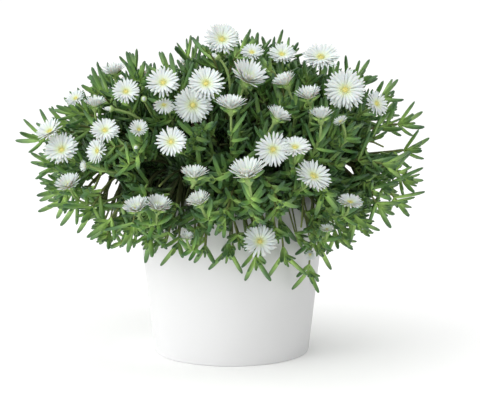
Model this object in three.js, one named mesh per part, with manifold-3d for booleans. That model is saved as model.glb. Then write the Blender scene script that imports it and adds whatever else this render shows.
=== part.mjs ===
// Potted ice plant: a plain tapered pot, its soil, branching leafy stems and daisy-like blooms.
// Millimetres, +Z up, origin at the middle of the pot's flat underside, front towards -Y.
import * as THREE from 'three';
import { mergeVertices } from 'three/addons/utils/BufferGeometryUtils.js';
import Module from 'manifold-3d';

const wasm = await Module();
wasm.setup();

// Pot
const POT_HEIGHT = 130;
const RIM_RADIUS = 75;
const BASE_RADIUS = 60.5;
const WALL = 4;
const POT_FLOOR = 5;
const FOOT_CHAMFER = 1.5;
const RIM_ROUND = 1.2;
const POT_SIDES = 36;

// Soil and the main stems that stand in it
const SOIL_EDGE_HEIGHT = 115;
const SOIL_MIDDLE_HEIGHT = 120;
const STEM_RADIUS = 2.4;
const STEM_FOOT = 84;
const STEM_TOP = 150;
const STEM_RING = 55;
const HOLE_RADIUS = 3.2;
const HOLE_SIDES = 6;
const GAP = 0.3;

// Outline of the foliage: two half ellipsoids that meet at their widest height
const DOME = { x: -6, y: 0, z: 151, wide: 158, deep: 150, up: 104, down: 86 };
const CORE_TIPS = 0.66;
const CORE_DIPS = 0.48;
const CORE_SIDES = 16;
const CORE_ROWS = 7;
const CORE_FLOOR = 134;

// Leafy stems: one round the middle, the others in equal sectors round it
const SECTOR_COUNT = 9;
const CROWN_REACH = 46;
const REGION_GAP = 0.25;
const ROOT_RADIUS = 64;
const ROOT_HEIGHT = 150;
const CROWN_ROOT_RADIUS = 16;
const SHOOT_RADIUS = 1.3;
const SHOOT_STEP = 56;
const STALK_STEP = 32;
const ROOTED_SHARE = 0.45;
const PATH_CLEARANCE = 1.7;
const OWN_REACH = 7;
const STRAIGHT_ARRIVAL = 0.6;
const SHOOT_SWAY = 18;
const SWAY_SPACING = 6;

// Leaves: fleshy fingers in opposite pairs
const LEAF_LENGTH = 19;
const LOW_LEAF_LENGTH = 26;
const LOW_HEIGHT = 110;
const HIGH_HEIGHT = 200;
const LEAF_WIDTH = 4.2;
const LEAF_WIDEST = 0.42;
const LEAF_FOOT = 2.6;
const LEAF_TURN = 0.14;
const LEAF_LIFT = 0.2;
const END_SPLAY = { least: 28, range: 14 };
const SIDE_SPLAY = { least: 50, range: 24 };
const PAIR_SPACING = 12;
const PAIRS_ON_FRONT_SHOOT = 3;
const PAIRS_ON_SPREAD_SHOOT = 2;

// View that the blooms and the outer shoots are placed by, in a frame of 480 by 416 pixels
const VIEW_DISTANCE = 1700;
const VIEW_ELEVATION = 12.9;
const PIXEL_SIZE = 0.788;
const FRAME_MIDDLE = { u: 240, v: 208 };
const POT_FOOT = { u: 231.3, v: 349 };

// Depths in the foliage, as a share of its outline, and shares of a bloom's radius
const BLOOM_SHELL = 0.93;
const SHOOT_SHELL = 0.88;
const SPREAD_SHELL = 0.86;
const CROWN_DROP = 0.08;
const MATE_DISTANCE = 0.6;
const NOTCH = 0.6;
const CENTRE_RISE = 0.15;
const CENTRE_WIDTH = 0.24;
const FRINGE_ROOM = 15;

// Room that the leaves leave before each bloom: along its axis, and towards the front
const HEADROOM = 16;
const SIGHT_ROOM = 55;
const SIGHT_SHARE = 0.8;

// Oval gaps in the foliage that the front view shows: their middles and half sizes in the view,
// through the whole plant, through the fringe alone, and hollows that reach down to a deeper shell
const GAPS_THROUGH = [
  { u: 103, v: 181, across: 11, tall: 10 },
  { u: 112, v: 191, across: 10, tall: 14 },
  { u: 112, v: 214, across: 9, tall: 5 },
  { u: 350, v: 169, across: 5, tall: 9 },
  { u: 374, v: 148, across: 9, tall: 7 },
  { u: 388, v: 144, across: 12, tall: 8 },
];
const GAPS_IN_FRINGE = [
  { u: 210, v: 242, across: 9, tall: 6 },
  { u: 240, v: 227, across: 9, tall: 7 },
  { u: 297, v: 220, across: 13, tall: 10 },
  { u: 309, v: 203, across: 9, tall: 7 },
];
const HOLLOWS = [
  { u: 166, v: 172, across: 22, tall: 17 },
  { u: 183, v: 195, across: 14, tall: 12 },
  { u: 267, v: 166, across: 14, tall: 10 },
  { u: 222, v: 142, across: 9, tall: 11 },
];
const HOLLOW_SHELL = 0.56;
const STEM_GAP = 0.45;

// Blooms seen from the front: place in the view, radius in millimetres, the angle between the
// bloom's axis and the line of sight, the way it leans in the view (90 is up), how far the petals
// rise, and for a bloom that grows into the one before it, mate.
const FRONT_BLOOMS = [
  { u: 345, v: 90, radius: 16.8, tilt: 10, lean: 90, rise: 12 },
  { u: 273, v: 149, radius: 14.0, tilt: 20, lean: 270, rise: 12 },
  { u: 302, v: 148, radius: 12.4, tilt: 50, lean: 90, rise: 16, mate: true },
  { u: 171, v: 142, radius: 12.2, tilt: 15, lean: 90, rise: 12 },
  { u: 206, v: 84, radius: 14.6, tilt: 24, lean: 90, rise: 14 },
  { u: 191, v: 108, radius: 15.2, tilt: 12, lean: 270, rise: 12, mate: true },
  { u: 187, v: 66, radius: 10.4, tilt: 78, lean: 80, rise: 34, far: true },
  { u: 163, v: 83, radius: 13.6, tilt: 28, lean: 90, rise: 14 },
  { u: 164, v: 104, radius: 9.0, tilt: 48, lean: 270, rise: 20 },
  { u: 222, v: 40, radius: 15.0, tilt: 28, lean: 90, rise: 16 },
  { u: 321, v: 58, radius: 15.2, tilt: 45, lean: 90, rise: 14 },
  { u: 126, v: 92, radius: 11.6, tilt: 30, lean: 90, rise: 16 },
  { u: 113, v: 73, radius: 11.6, tilt: 72, lean: 100, rise: 32 },
  { u: 105, v: 131, radius: 11.6, tilt: 32, lean: 90, rise: 16 },
  { u: 139, v: 130, radius: 8.8, tilt: 28, lean: 90, rise: 34 },
  { u: 61, v: 150, radius: 14.6, tilt: 30, lean: 110, rise: 20 },
  { u: 50, v: 131, radius: 12, tilt: 50, lean: 120, rise: 26, mate: true },
  { u: 98, v: 151, radius: 10.8, tilt: 44, lean: 170, rise: 18 },
  { u: 86, v: 166, radius: 5.6, tilt: 60, lean: 180, rise: 34 },
  { u: 69, v: 186, radius: 12.0, tilt: 54, lean: 110, rise: 30 },
  { u: 95, v: 106, radius: 11.2, tilt: 76, lean: 90, rise: 32 },
  { u: 76, v: 99, radius: 9.0, tilt: 50, lean: 120, rise: 20 },
  { u: 231, v: 108, radius: 14.2, tilt: 74, lean: 90, rise: 30 },
  { u: 247, v: 80, radius: 18.0, tilt: 50, lean: 66, rise: 36 },
  { u: 252, v: 53, radius: 9.6, tilt: 45, lean: 90, rise: 18 },
  { u: 282, v: 55, radius: 11.8, tilt: 45, lean: 90, rise: 16 },
  { u: 286, v: 84, radius: 11.8, tilt: 74, lean: 115, rise: 36 },
  { u: 277, v: 118, radius: 12.0, tilt: 76, lean: 60, rise: 34 },
  { u: 309, v: 98, radius: 12.4, tilt: 66, lean: 100, rise: 36 },
  { u: 321, v: 118, radius: 11.4, tilt: 76, lean: 90, rise: 38 },
  { u: 376, v: 104, radius: 11.0, tilt: 40, lean: 30, rise: 16 },
  { u: 248, v: 176, radius: 16.8, tilt: 62, lean: 100, rise: 34 },
  { u: 313, v: 177, radius: 15.0, tilt: 45, lean: 60, rise: 14 },
  { u: 260, v: 242, radius: 14.0, tilt: 26, lean: 90, rise: 14 },
  { u: 137, v: 210, radius: 12.6, tilt: 58, lean: 105, rise: 34 },
  { u: 162, v: 208, radius: 12.6, tilt: 58, lean: 80, rise: 34, mate: true },
  { u: 194, v: 177, radius: 12.6, tilt: 74, lean: 90, rise: 30 },
  { u: 200, v: 203, radius: 11.2, tilt: 60, lean: 110, rise: 34 },
  { u: 187, v: 238, radius: 6.4, tilt: 60, lean: 90, rise: 30 },
  { u: 350, v: 203, radius: 10.6, tilt: 60, lean: 80, rise: 18 },
  { u: 327, v: 230, radius: 6.4, tilt: 60, lean: 90, rise: 28 },
  { u: 310, v: 254, radius: 5.6, tilt: 30, lean: 270, rise: 34 },
  { u: 341, v: 122, radius: 6.4, tilt: 60, lean: 120, rise: 26 },
];

// Blooms round the back, in rows of three that grow into each other; foliage covers them from the
// front, to a share of its outline at some depths on the way to the viewer
const BACK_ROWS = 9;
const BACK_START = 12;
const BACK_SPAN = 156;
const COVER_SHARE = 0.88;
const COVER_SIGHT = 2;
const COVER_DEPTHS = [30, 60, 90, 120];
const BACK_LOW = -0.18;
const BACK_HIGH = 0.8;
const BACK_BEND = 142;
const BACK_LIFT = 0.64;
const BACK_RISE = 14;
const MATE_LEAN = 0.3;
const MATE_RISE = 20;
const BACK_SEED = 41;

// Small closed buds on stalks of their own
const BUDS = [
  { u: 218, v: 58, radius: 2.7 },
  { u: 144, v: 99, radius: 2.4 },
  { u: 112, v: 109, radius: 2.7 },
  { u: 136, v: 147, radius: 2.2 },
];

// Ends of the leafy shoots that make the outline and the fringe over the rim
const FRONT_SHOOTS = [
  { u: 40, v: 139 }, { u: 52, v: 165 }, { u: 60, v: 189 }, { u: 74, v: 206 }, { u: 90, v: 212 },
  { u: 107, v: 222 }, { u: 131, v: 230 }, { u: 150, v: 240 }, { u: 178, v: 246 }, { u: 205, v: 249 },
  { u: 228, v: 252 }, { u: 256, v: 261 }, { u: 284, v: 257 }, { u: 308, v: 274 }, { u: 318, v: 248 },
  { u: 336, v: 238 }, { u: 357, v: 222 }, { u: 380, v: 208 }, { u: 398, v: 202 }, { u: 404, v: 180 },
  { u: 408, v: 150 }, { u: 402, v: 124 }, { u: 382, v: 98 }, { u: 356, v: 80 }, { u: 270, v: 70 },
  { u: 209, v: 53 }, { u: 242, v: 50 }, { u: 170, v: 76 }, { u: 138, v: 80 }, { u: 100, v: 94 },
  { u: 75, v: 112 }, { u: 64, v: 124 },
];

// The other shoots, spread over the whole outline by a spiral rule
const SPREAD_COUNT = 47;
const SPREAD_LOW = -0.72;
const SPREAD_SEED = 7;
const SHOOT_SPACING = 29;
const GOLDEN_ANGLE = 137.508;

const COLOURS = {
  pot: 0xf1f1ef,
  soil: 0x3a2a1e,
  leaf: 0x4b7a35,
  bloom: 0xf4f4ee,
};

const UP = new THREE.Vector3(0, 0, 1);

function radians(degrees) {
  return degrees * Math.PI / 180;
}

// Draws between 0 and 1 that come out the same each time for one seed
function makeDraw(seed) {
  let state = seed >>> 0;
  return function draw() {
    state = (Math.imul(state, 1664525) + 1013904223) >>> 0;
    return state / 4294967296;
  };
}

function polar(radius, angle, height) {
  return new THREE.Vector3(radius * Math.cos(angle), radius * Math.sin(angle), height);
}

function blend(a, b, share) {
  return a.clone().lerp(b, share);
}

// Closed solids

function signedVolume(points, faces) {
  let total = 0;
  for (let k = 0; k < faces.length; k += 3) {
    const [a, b, c] = [faces[k], faces[k + 1], faces[k + 2]].map(
      (n) => new THREE.Vector3(points[3 * n], points[3 * n + 1], points[3 * n + 2]),
    );
    total += a.dot(b.cross(c)) / 6;
  }
  return total;
}

function toSolid(geometry) {
  const bare = geometry.clone();
  bare.deleteAttribute('normal');
  bare.deleteAttribute('uv');
  const merged = mergeVertices(bare, 1e-4);
  const points = new Float32Array(merged.attributes.position.array);
  const faces = [];
  for (let k = 0; k < merged.index.count; k += 3) {
    const [a, b, c] = [merged.index.getX(k), merged.index.getX(k + 1), merged.index.getX(k + 2)];
    if (a !== b && b !== c && c !== a) {
      faces.push(a, b, c);
    }
  }
  if (signedVolume(points, faces) < 0) {
    faces.reverse();
  }
  return new wasm.Manifold(new wasm.Mesh({
    numProp: 3,
    vertProperties: points,
    triVerts: new Uint32Array(faces),
  }));
}

function solidFromFaces(corners, faces) {
  const geometry = new THREE.BufferGeometry();
  const points = corners.flatMap((corner) => corner.toArray());
  geometry.setAttribute('position', new THREE.Float32BufferAttribute(points, 3));
  geometry.setIndex(faces);
  return toSolid(geometry);
}

// Adds solids in pairs, so that small ones join first
function joinAll(solids) {
  let row = [...solids];
  while (row.length > 1) {
    const next = [];
    for (let k = 0; k < row.length; k += 2) {
      next.push(k + 1 < row.length ? row[k].add(row[k + 1]) : row[k]);
    }
    row = next;
  }
  return row[0];
}

// The largest body of a join, without any loose scrap
function mainBody(solid) {
  const bodies = solid.decompose();
  return bodies.sort((a, b) => b.volume() - a.volume())[0];
}

function toMesh(name, solid, colour, roughness) {
  const { vertProperties, triVerts } = solid.getMesh();
  const geometry = new THREE.BufferGeometry();
  geometry.setAttribute('position', new THREE.Float32BufferAttribute(Array.from(vertProperties), 3));
  geometry.setIndex(Array.from(triVerts));
  geometry.computeVertexNormals();
  const material = new THREE.MeshStandardMaterial({ color: colour, roughness, metalness: 0 });
  const mesh = new THREE.Mesh(geometry, material);
  mesh.name = name;
  return mesh;
}

function turned(profile, sides) {
  const points = profile.map(([radius, height]) => new THREE.Vector2(radius, height));
  const geometry = new THREE.LatheGeometry(points, sides);
  geometry.rotateX(Math.PI / 2);
  return toSolid(geometry);
}

function uprightCylinder(radius, bottom, top, sides, place) {
  const geometry = new THREE.CylinderGeometry(radius, radius, top - bottom, sides);
  geometry.rotateX(Math.PI / 2);
  geometry.translate(place.x, place.y, (top + bottom) / 2);
  return toSolid(geometry);
}

// A tube of even thickness along a curve
function tube(path, radius, sides, steps) {
  const section = new THREE.Shape();
  for (let k = 0; k < sides; k += 1) {
    const angle = 2 * Math.PI * k / sides;
    const point = [radius * Math.cos(angle), radius * Math.sin(angle)];
    if (k === 0) {
      section.moveTo(...point);
    } else {
      section.lineTo(...point);
    }
  }
  section.closePath();
  return toSolid(new THREE.ExtrudeGeometry(section, { steps, extrudePath: path, bevelEnabled: false }));
}

// View

function makeView() {
  const focal = VIEW_DISTANCE / PIXEL_SIZE;
  const elevation = radians(VIEW_ELEVATION);
  const pitch = elevation - Math.atan((POT_FOOT.v - FRAME_MIDDLE.v) / focal);
  const yaw = Math.atan((FRAME_MIDDLE.u - POT_FOOT.u) / focal);
  const eye = new THREE.Vector3(0, -Math.cos(elevation), Math.sin(elevation)).multiplyScalar(VIEW_DISTANCE);
  const forward = new THREE.Vector3(
    Math.sin(yaw) * Math.cos(pitch),
    Math.cos(yaw) * Math.cos(pitch),
    -Math.sin(pitch),
  );
  const right = new THREE.Vector3(Math.cos(yaw), -Math.sin(yaw), 0);
  const up = right.clone().cross(forward);
  return { focal, eye, forward, right, up };
}

const VIEW = makeView();

function sightPoint(u, v, distance) {
  const line = VIEW.forward.clone().multiplyScalar(VIEW.focal);
  line.addScaledVector(VIEW.right, u - FRAME_MIDDLE.u);
  line.addScaledVector(VIEW.up, FRAME_MIDDLE.v - v);
  return VIEW.eye.clone().addScaledVector(line.normalize(), distance);
}

// Place of a point in the view
function inView(point) {
  const reach = point.clone().sub(VIEW.eye);
  const scale = VIEW.focal / reach.dot(VIEW.forward);
  return {
    u: FRAME_MIDDLE.u + reach.dot(VIEW.right) * scale,
    v: FRAME_MIDDLE.v - reach.dot(VIEW.up) * scale,
  };
}

// True where a point is seen within a share of one of the gaps
function isSeenIn(gaps, point, share) {
  const { u, v } = inView(point);
  return gaps.some((gap) => Math.hypot((u - gap.u) / gap.across, (v - gap.v) / gap.tall) < share);
}

function inGap(point, share) {
  return isSeenIn(GAPS_THROUGH, point, share) || (point.y < 0 && isSeenIn(GAPS_IN_FRINGE, point, share));
}

function inHollow(point) {
  return point.y < 0 && domeShare(point) > HOLLOW_SHELL && isSeenIn(HOLLOWS, point, 1);
}

// Share of the way from the middle of the foliage to its outline
function domeShare(point) {
  const rise = point.z - DOME.z;
  const tall = rise > 0 ? DOME.up : DOME.down;
  return Math.hypot((point.x - DOME.x) / DOME.wide, (point.y - DOME.y) / DOME.deep, rise / tall);
}

function domePoint(direction, share) {
  const tall = direction.z > 0 ? DOME.up : DOME.down;
  return new THREE.Vector3(
    DOME.x + DOME.wide * direction.x * share,
    DOME.y + DOME.deep * direction.y * share,
    DOME.z + tall * direction.z * share,
  );
}

// Distance along a line of sight at which it meets a shell of the foliage, or passes nearest to it
function sightDistance(u, v, shell, far) {
  let near = VIEW_DISTANCE - 400;
  let back = VIEW_DISTANCE + 400;
  let low = near;
  let high = back;
  for (let k = 0; k < 60; k += 1) {
    const a = low + (high - low) / 3;
    const b = high - (high - low) / 3;
    if (domeShare(sightPoint(u, v, a)) < domeShare(sightPoint(u, v, b))) {
      high = b;
    } else {
      low = a;
    }
  }
  let inside = (low + high) / 2;
  if (domeShare(sightPoint(u, v, inside)) >= shell) {
    return inside;
  }
  let outside = far ? back : near;
  for (let k = 0; k < 40; k += 1) {
    const middle = (inside + outside) / 2;
    if (domeShare(sightPoint(u, v, middle)) < shell) {
      inside = middle;
    } else {
      outside = middle;
    }
  }
  return inside;
}

// Distance of a piece placed on a shell, brought forward where it would be too near the pot
function placedDistance(row, shell, room) {
  let distance = sightDistance(row.u, row.v, shell, row.far);
  while (!clearOfPot(sightPoint(row.u, row.v, distance), room)) {
    distance -= 2;
  }
  return distance;
}

// Regions: each leafy stem keeps to its own, so no two cross

function sectorAngle(sector) {
  return radians(-90 + sector * 360 / SECTOR_COUNT);
}

function along(angle, point) {
  return point.x * Math.cos(angle) + point.y * Math.sin(angle);
}

// Sector of a point, or SECTOR_COUNT for the crown round the middle
function regionOf(point) {
  let best = 0;
  for (let k = 1; k < SECTOR_COUNT; k += 1) {
    if (along(sectorAngle(k), point) > along(sectorAngle(best), point)) {
      best = k;
    }
  }
  return along(sectorAngle(best), point) < CROWN_REACH ? SECTOR_COUNT : best;
}

// Planes that bound a region: a point is inside where its distance along the angle passes the offset
function regionPlanes(region) {
  const planes = [];
  if (region === SECTOR_COUNT) {
    for (let k = 0; k < SECTOR_COUNT; k += 1) {
      planes.push({ angle: sectorAngle(k) + Math.PI, offset: -(CROWN_REACH - REGION_GAP) });
    }
    return planes;
  }
  const half = Math.PI / SECTOR_COUNT;
  const middle = sectorAngle(region);
  planes.push({ angle: middle, offset: CROWN_REACH + REGION_GAP });
  planes.push({ angle: middle - half + Math.PI / 2, offset: REGION_GAP });
  planes.push({ angle: middle + half - Math.PI / 2, offset: REGION_GAP });
  return planes;
}

const REGIONS = Array.from({ length: SECTOR_COUNT + 1 }, (_, region) => regionPlanes(region));

function insideRegion(region, point, margin) {
  return REGIONS[region].every((plane) => along(plane.angle, point) - plane.offset >= margin);
}

function pushInside(region, point, margin) {
  const moved = point.clone();
  for (let k = 0; k < 3; k += 1) {
    for (const plane of REGIONS[region]) {
      const short = margin - (along(plane.angle, moved) - plane.offset);
      if (short > 0) {
        moved.x += Math.cos(plane.angle) * short;
        moved.y += Math.sin(plane.angle) * short;
      }
    }
  }
  return moved;
}

// Clearances

function potOuterRadius(height) {
  return BASE_RADIUS + (RIM_RADIUS - BASE_RADIUS) * height / POT_HEIGHT;
}

function clearOfPot(point, margin) {
  const radius = Math.hypot(point.x, point.y);
  const outer = potOuterRadius(point.z);
  if (point.z > POT_HEIGHT + margin || radius > outer + margin) {
    return true;
  }
  return radius < outer - WALL - margin && point.z > SOIL_MIDDLE_HEIGHT + margin;
}

function petalRise(bloom) {
  return bloom.radius * Math.sin(radians(bloom.rise));
}

function hubDepth(bloom) {
  return 0.12 * bloom.radius + 0.55 * petalRise(bloom);
}

function touchesBloom(bloom, point, margin) {
  const reach = point.clone().sub(bloom.centre);
  const height = reach.dot(bloom.axis);
  const across = Math.sqrt(Math.max(0, reach.lengthSq() - height * height));
  const outer = bloom.radius * Math.cos(radians(bloom.rise)) + margin;
  const share = Math.min(1, across / outer);
  const lowest = share * petalRise(bloom) - (1 - share) * hubDepth(bloom) - 0.07 * bloom.radius - margin;
  const highest = share * petalRise(bloom) + 0.16 * bloom.radius + margin;
  return across < outer && height > lowest && height < highest;
}

function clearOfBlooms(blooms, point, margin, own) {
  return blooms.every((bloom) => bloom === own || !touchesBloom(bloom, point, margin));
}

// True where a point stands close before a bloom, seen along its axis or from the front
function hidesBloom(bloom, point) {
  const reach = point.clone().sub(bloom.centre);
  const height = reach.dot(bloom.axis);
  const across = Math.sqrt(Math.max(0, reach.lengthSq() - height * height));
  if (height > 0 && height < HEADROOM && across < SIGHT_SHARE * bloom.radius) {
    return true;
  }
  if (!bloom.inFront) {
    return false;
  }
  const sight = VIEW.eye.clone().sub(bloom.centre).normalize();
  const nearer = reach.dot(sight);
  const aside = Math.sqrt(Math.max(0, reach.lengthSq() - nearer * nearer));
  return nearer > 0 && nearer < SIGHT_ROOM && aside < SIGHT_SHARE * bloom.radius;
}

// Blooms

function sideways(axis) {
  const reference = Math.abs(axis.z) > 0.9 ? new THREE.Vector3(1, 0, 0) : UP;
  return reference.clone().cross(axis).normalize();
}

function bloomPoint(bloom, radius, angle, height) {
  const first = sideways(bloom.axis);
  const second = bloom.axis.clone().cross(first);
  return bloom.centre.clone()
    .addScaledVector(first, radius * Math.cos(angle))
    .addScaledVector(second, radius * Math.sin(angle))
    .addScaledVector(bloom.axis, height);
}

function bloomsMeet(one, other) {
  const [a, b] = [[one, other], [other, one]].map(([from, to]) => {
    for (const share of [0, 0.5, 1]) {
      for (let k = 0; k < 12; k += 1) {
        const height = share * petalRise(from);
        if (touchesBloom(to, bloomPoint(from, share * from.radius, radians(30 * k), height), 1)) {
          return true;
        }
      }
    }
    return false;
  });
  return a || b;
}

function stalkEnd(bloom) {
  return bloom.centre.clone().addScaledVector(bloom.axis, -hubDepth(bloom) - GAP);
}

// Shifts a bloom so that its stalk's end lies well inside one region
function settle(bloom) {
  const end = stalkEnd(bloom);
  const region = regionOf(end);
  const shift = pushInside(region, end, PATH_CLEARANCE + 0.4).sub(end);
  bloom.centre.add(shift);
  bloom.region = region;
  return bloom;
}

function frontAxis(row) {
  const tilt = radians(row.tilt);
  const lean = radians(row.lean);
  return VIEW.forward.clone().multiplyScalar(-Math.cos(tilt))
    .addScaledVector(VIEW.right, Math.sin(tilt) * Math.cos(lean))
    .addScaledVector(VIEW.up, Math.sin(tilt) * Math.sin(lean))
    .normalize();
}

// Moves a bloom towards its mate until the two overlap at their petals
function drawTogether(bloom, mate) {
  const reach = bloom.centre.clone().sub(mate.centre);
  const wanted = MATE_DISTANCE * (bloom.radius + mate.radius);
  if (reach.length() > wanted) {
    bloom.centre.copy(mate.centre).addScaledVector(reach.normalize(), wanted);
  }
}

function frontBloom(row, placed) {
  const bloom = { axis: frontAxis(row), radius: row.radius, rise: row.rise, mate: row.mate, inFront: true };
  const distance = placedDistance(row, BLOOM_SHELL, FRINGE_ROOM);
  if (row.mate) {
    const mate = placed[placed.length - 1];
    const depth = mate.centre.distanceTo(VIEW.eye);
    bloom.centre = sightPoint(row.u, row.v, depth);
    settle(bloom);
    drawTogether(bloom, mate);
    bloom.facing = mate;
    mate.facing = bloom;
    return bloom;
  }
  for (const step of [0, 5, -5, 10, -10, 15, -15, 20, 26, 32, 38]) {
    bloom.centre = sightPoint(row.u, row.v, distance + step);
    settle(bloom);
    if (placed.every((other) => !bloomsMeet(bloom, other))) {
      break;
    }
  }
  return bloom;
}

function outwardNormal(point) {
  const rise = point.z - DOME.z;
  const tall = rise > 0 ? DOME.up : DOME.down;
  return new THREE.Vector3(
    (point.x - DOME.x) / DOME.wide ** 2,
    (point.y - DOME.y) / DOME.deep ** 2,
    rise / tall ** 2,
  ).normalize();
}

// True where the foliage in front of a point hides it from the viewer
function isCovered(point) {
  const isBehind = (depth) => domeShare(point.clone().addScaledVector(VIEW.forward, -depth)) < COVER_SHARE;
  return !isSeenIn(GAPS_THROUGH, point, COVER_SIGHT) && COVER_DEPTHS.some(isBehind);
}

// A row of three blooms on the far side, tried further on until it is clear of the rest
function backRow(index, placed, draw) {
  const share = (index + 0.5) / BACK_ROWS;
  const start = (index * 0.618) % 1;
  const sizes = [12 + 3.5 * draw(), 9.5 + 3.5 * draw(), 9 + 3 * draw()];
  const sway = radians(180 * draw());
  for (let attempt = 0; attempt < 24; attempt += 1) {
    const angle = radians(BACK_START + BACK_SPAN * ((start + 0.043 * attempt) % 1));
    const height = BACK_LOW + (BACK_HIGH - BACK_LOW) * share;
    const flat = Math.sqrt(1 - height * height);
    const direction = new THREE.Vector3(flat * Math.cos(angle), flat * Math.sin(angle), height);
    const centre = domePoint(direction, BLOOM_SHELL);
    const axis = outwardNormal(centre).addScaledVector(UP, BACK_LIFT).normalize();
    const row = [settle({ centre, axis, radius: sizes[0], rise: BACK_RISE })];
    for (const side of [0, 1]) {
      const radius = sizes[side + 1];
      const away = MATE_DISTANCE * (sizes[0] + radius);
      const place = bloomPoint(row[0], away, sway + side * radians(BACK_BEND), -1);
      const aside = place.clone().sub(centre).normalize();
      const leaning = axis.clone().addScaledVector(aside, MATE_LEAN).normalize();
      const bloom = settle({ centre: place, axis: leaning, radius, rise: MATE_RISE, mate: true });
      drawTogether(bloom, row[0]);
      bloom.facing = row[0];
      row.push(bloom);
    }
    row[0].facing = row[1];
    const isFree = (bloom) => placed.every((other) => !bloomsMeet(bloom, other));
    if (row.every((bloom) => isCovered(bloom.centre) && isFree(bloom))) {
      return row;
    }
  }
  return [];
}

function layOutBlooms() {
  const placed = [];
  for (const row of FRONT_BLOOMS) {
    placed.push(frontBloom(row, placed));
  }
  const draw = makeDraw(BACK_SEED);
  for (let k = 0; k < BACK_ROWS; k += 1) {
    placed.push(...backRow(k, placed, draw));
  }
  return placed;
}

function petalCount(bloom) {
  if (bloom.radius > 13) {
    return 12;
  }
  return bloom.radius > 8 ? 10 : 8;
}

// Angle of the first petal: towards the bloom that this one grows into
function firstPetal(bloom) {
  if (!bloom.facing) {
    return 0;
  }
  const first = sideways(bloom.axis);
  const second = bloom.axis.clone().cross(first);
  const reach = bloom.facing.centre.clone().sub(bloom.centre);
  return Math.atan2(reach.dot(second), reach.dot(first));
}

// One bloom: a raised middle, long and short petals in two layers, and a hub below
function bloomSolid(bloom) {
  const petals = petalCount(bloom);
  const R = bloom.radius;
  const step = 2 * Math.PI / petals;
  const start = firstPetal(bloom) - 0.5 * step;
  const spread = Math.cos(radians(bloom.rise));
  const corners = [bloomPoint(bloom, 0, 0, CENTRE_RISE * R), bloomPoint(bloom, 0, 0, -hubDepth(bloom))];
  const faces = [];
  for (let k = 0; k < petals; k += 1) {
    const upper = k % 2 === 0;
    const tipRadius = R * spread * (upper ? 0.93 : 1);
    const tipHeight = petalRise(bloom) + (upper ? 0.07 : -0.06) * R;
    const angle = start + k * step;
    corners.push(bloomPoint(bloom, CENTRE_WIDTH * R, angle, 0.5 * CENTRE_RISE * R));
    corners.push(bloomPoint(bloom, NOTCH * R, angle, 0.55 * petalRise(bloom)));
    corners.push(bloomPoint(bloom, tipRadius, angle + 0.5 * step, tipHeight));
  }
  for (let k = 0; k < petals; k += 1) {
    const here = 2 + 3 * k;
    const next = 2 + 3 * ((k + 1) % petals);
    const [ring, notch, tip] = [here, here + 1, here + 2];
    const [nextRing, nextNotch] = [next, next + 1];
    faces.push(0, ring, nextRing, ring, tip, nextRing, ring, notch, tip, nextRing, tip, nextNotch);
    faces.push(1, tip, notch, 1, nextNotch, tip);
  }
  return solidFromFaces(corners, faces);
}

// Stalks and shoots

function pathSide(path) {
  const side = path.v2.clone().sub(path.v0).cross(UP);
  return side.lengthSq() > 1 ? side.normalize() : new THREE.Vector3(1, 0, 0);
}

// Share of a path at which it is still well inside the core
function rootedShare(path) {
  let share = 0;
  for (let k = 1; k < 14; k += 1) {
    const point = path.getPoint(k / 20);
    if (domeShare(point) > ROOTED_SHARE || point.z < CORE_FLOOR + 3) {
      break;
    }
    share = k / 20;
  }
  return share;
}

function stalkSolid(path) {
  const start = rootedShare(path);
  const steps = Math.max(2, Math.ceil((1 - start) * path.getLength() / STALK_STEP));
  const points = [];
  for (let k = 0; k <= steps; k += 1) {
    points.push(path.getPoint(start + (1 - start) * k / steps));
  }
  return tube(new THREE.CatmullRomCurve3(points), SHOOT_RADIUS, 3, steps);
}

function rootPoint(region, target) {
  if (region === SECTOR_COUNT) {
    const flat = new THREE.Vector3(target.x, target.y, 0).clampLength(0, CROWN_ROOT_RADIUS);
    return flat.setZ(ROOT_HEIGHT);
  }
  const middle = sectorAngle(region);
  const limit = 0.45 * Math.PI / SECTOR_COUNT;
  const turn = Math.atan2(along(middle + Math.PI / 2, target), along(middle, target));
  return polar(ROOT_RADIUS, middle + Math.max(-limit, Math.min(limit, turn)), ROOT_HEIGHT);
}

function pathIsClear(path, region, blooms, own) {
  if (!insideRegion(region, path.v1, PATH_CLEARANCE)) {
    return false;
  }
  if (own && path.getTangent(1).dot(own.axis) < STRAIGHT_ARRIVAL) {
    return false;
  }
  for (let k = 3; k <= 20; k += 1) {
    const point = path.getPoint(k / 20);
    if (own && point.distanceTo(path.v2) > OWN_REACH && touchesBloom(own, point, SHOOT_RADIUS)) {
      return false;
    }
    if (!own && inGap(point, STEM_GAP)) {
      return false;
    }
    if (!clearOfBlooms(blooms, point, PATH_CLEARANCE, own) || !clearOfPot(point, PATH_CLEARANCE)) {
      return false;
    }
  }
  return true;
}

// A bent path from the stem's core to an end, swung aside until it is clear
function findPath(region, end, middle, blooms, own) {
  const start = rootPoint(region, end);
  const side = end.clone().sub(start).cross(UP).normalize();
  const sway = own ? 0 : SHOOT_SWAY * Math.sin(end.x / SWAY_SPACING);
  for (const lift of [0, 10, -10, 20, -20, 30]) {
    for (const swing of [0, 8, -8, 16, -16, 24, -24, 32, -32]) {
      const bend = middle(start).addScaledVector(side, sway + swing).addScaledVector(UP, lift);
      const path = new THREE.QuadraticBezierCurve3(start, pushInside(region, bend, PATH_CLEARANCE), end);
      if (pathIsClear(path, region, blooms, own)) {
        return path;
      }
    }
  }
  return null;
}

function stalkPath(bloom, blooms) {
  const end = stalkEnd(bloom);
  for (const share of [0.4, 0.25, 0.12]) {
    const reach = share * end.distanceTo(rootPoint(bloom.region, end));
    const middle = () => end.clone().addScaledVector(bloom.axis, -reach);
    const path = findPath(bloom.region, end, middle, blooms, bloom);
    if (path) {
      return path;
    }
  }
  return findPath(bloom.region, end, (start) => archOver(start, end), blooms, bloom);
}

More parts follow.
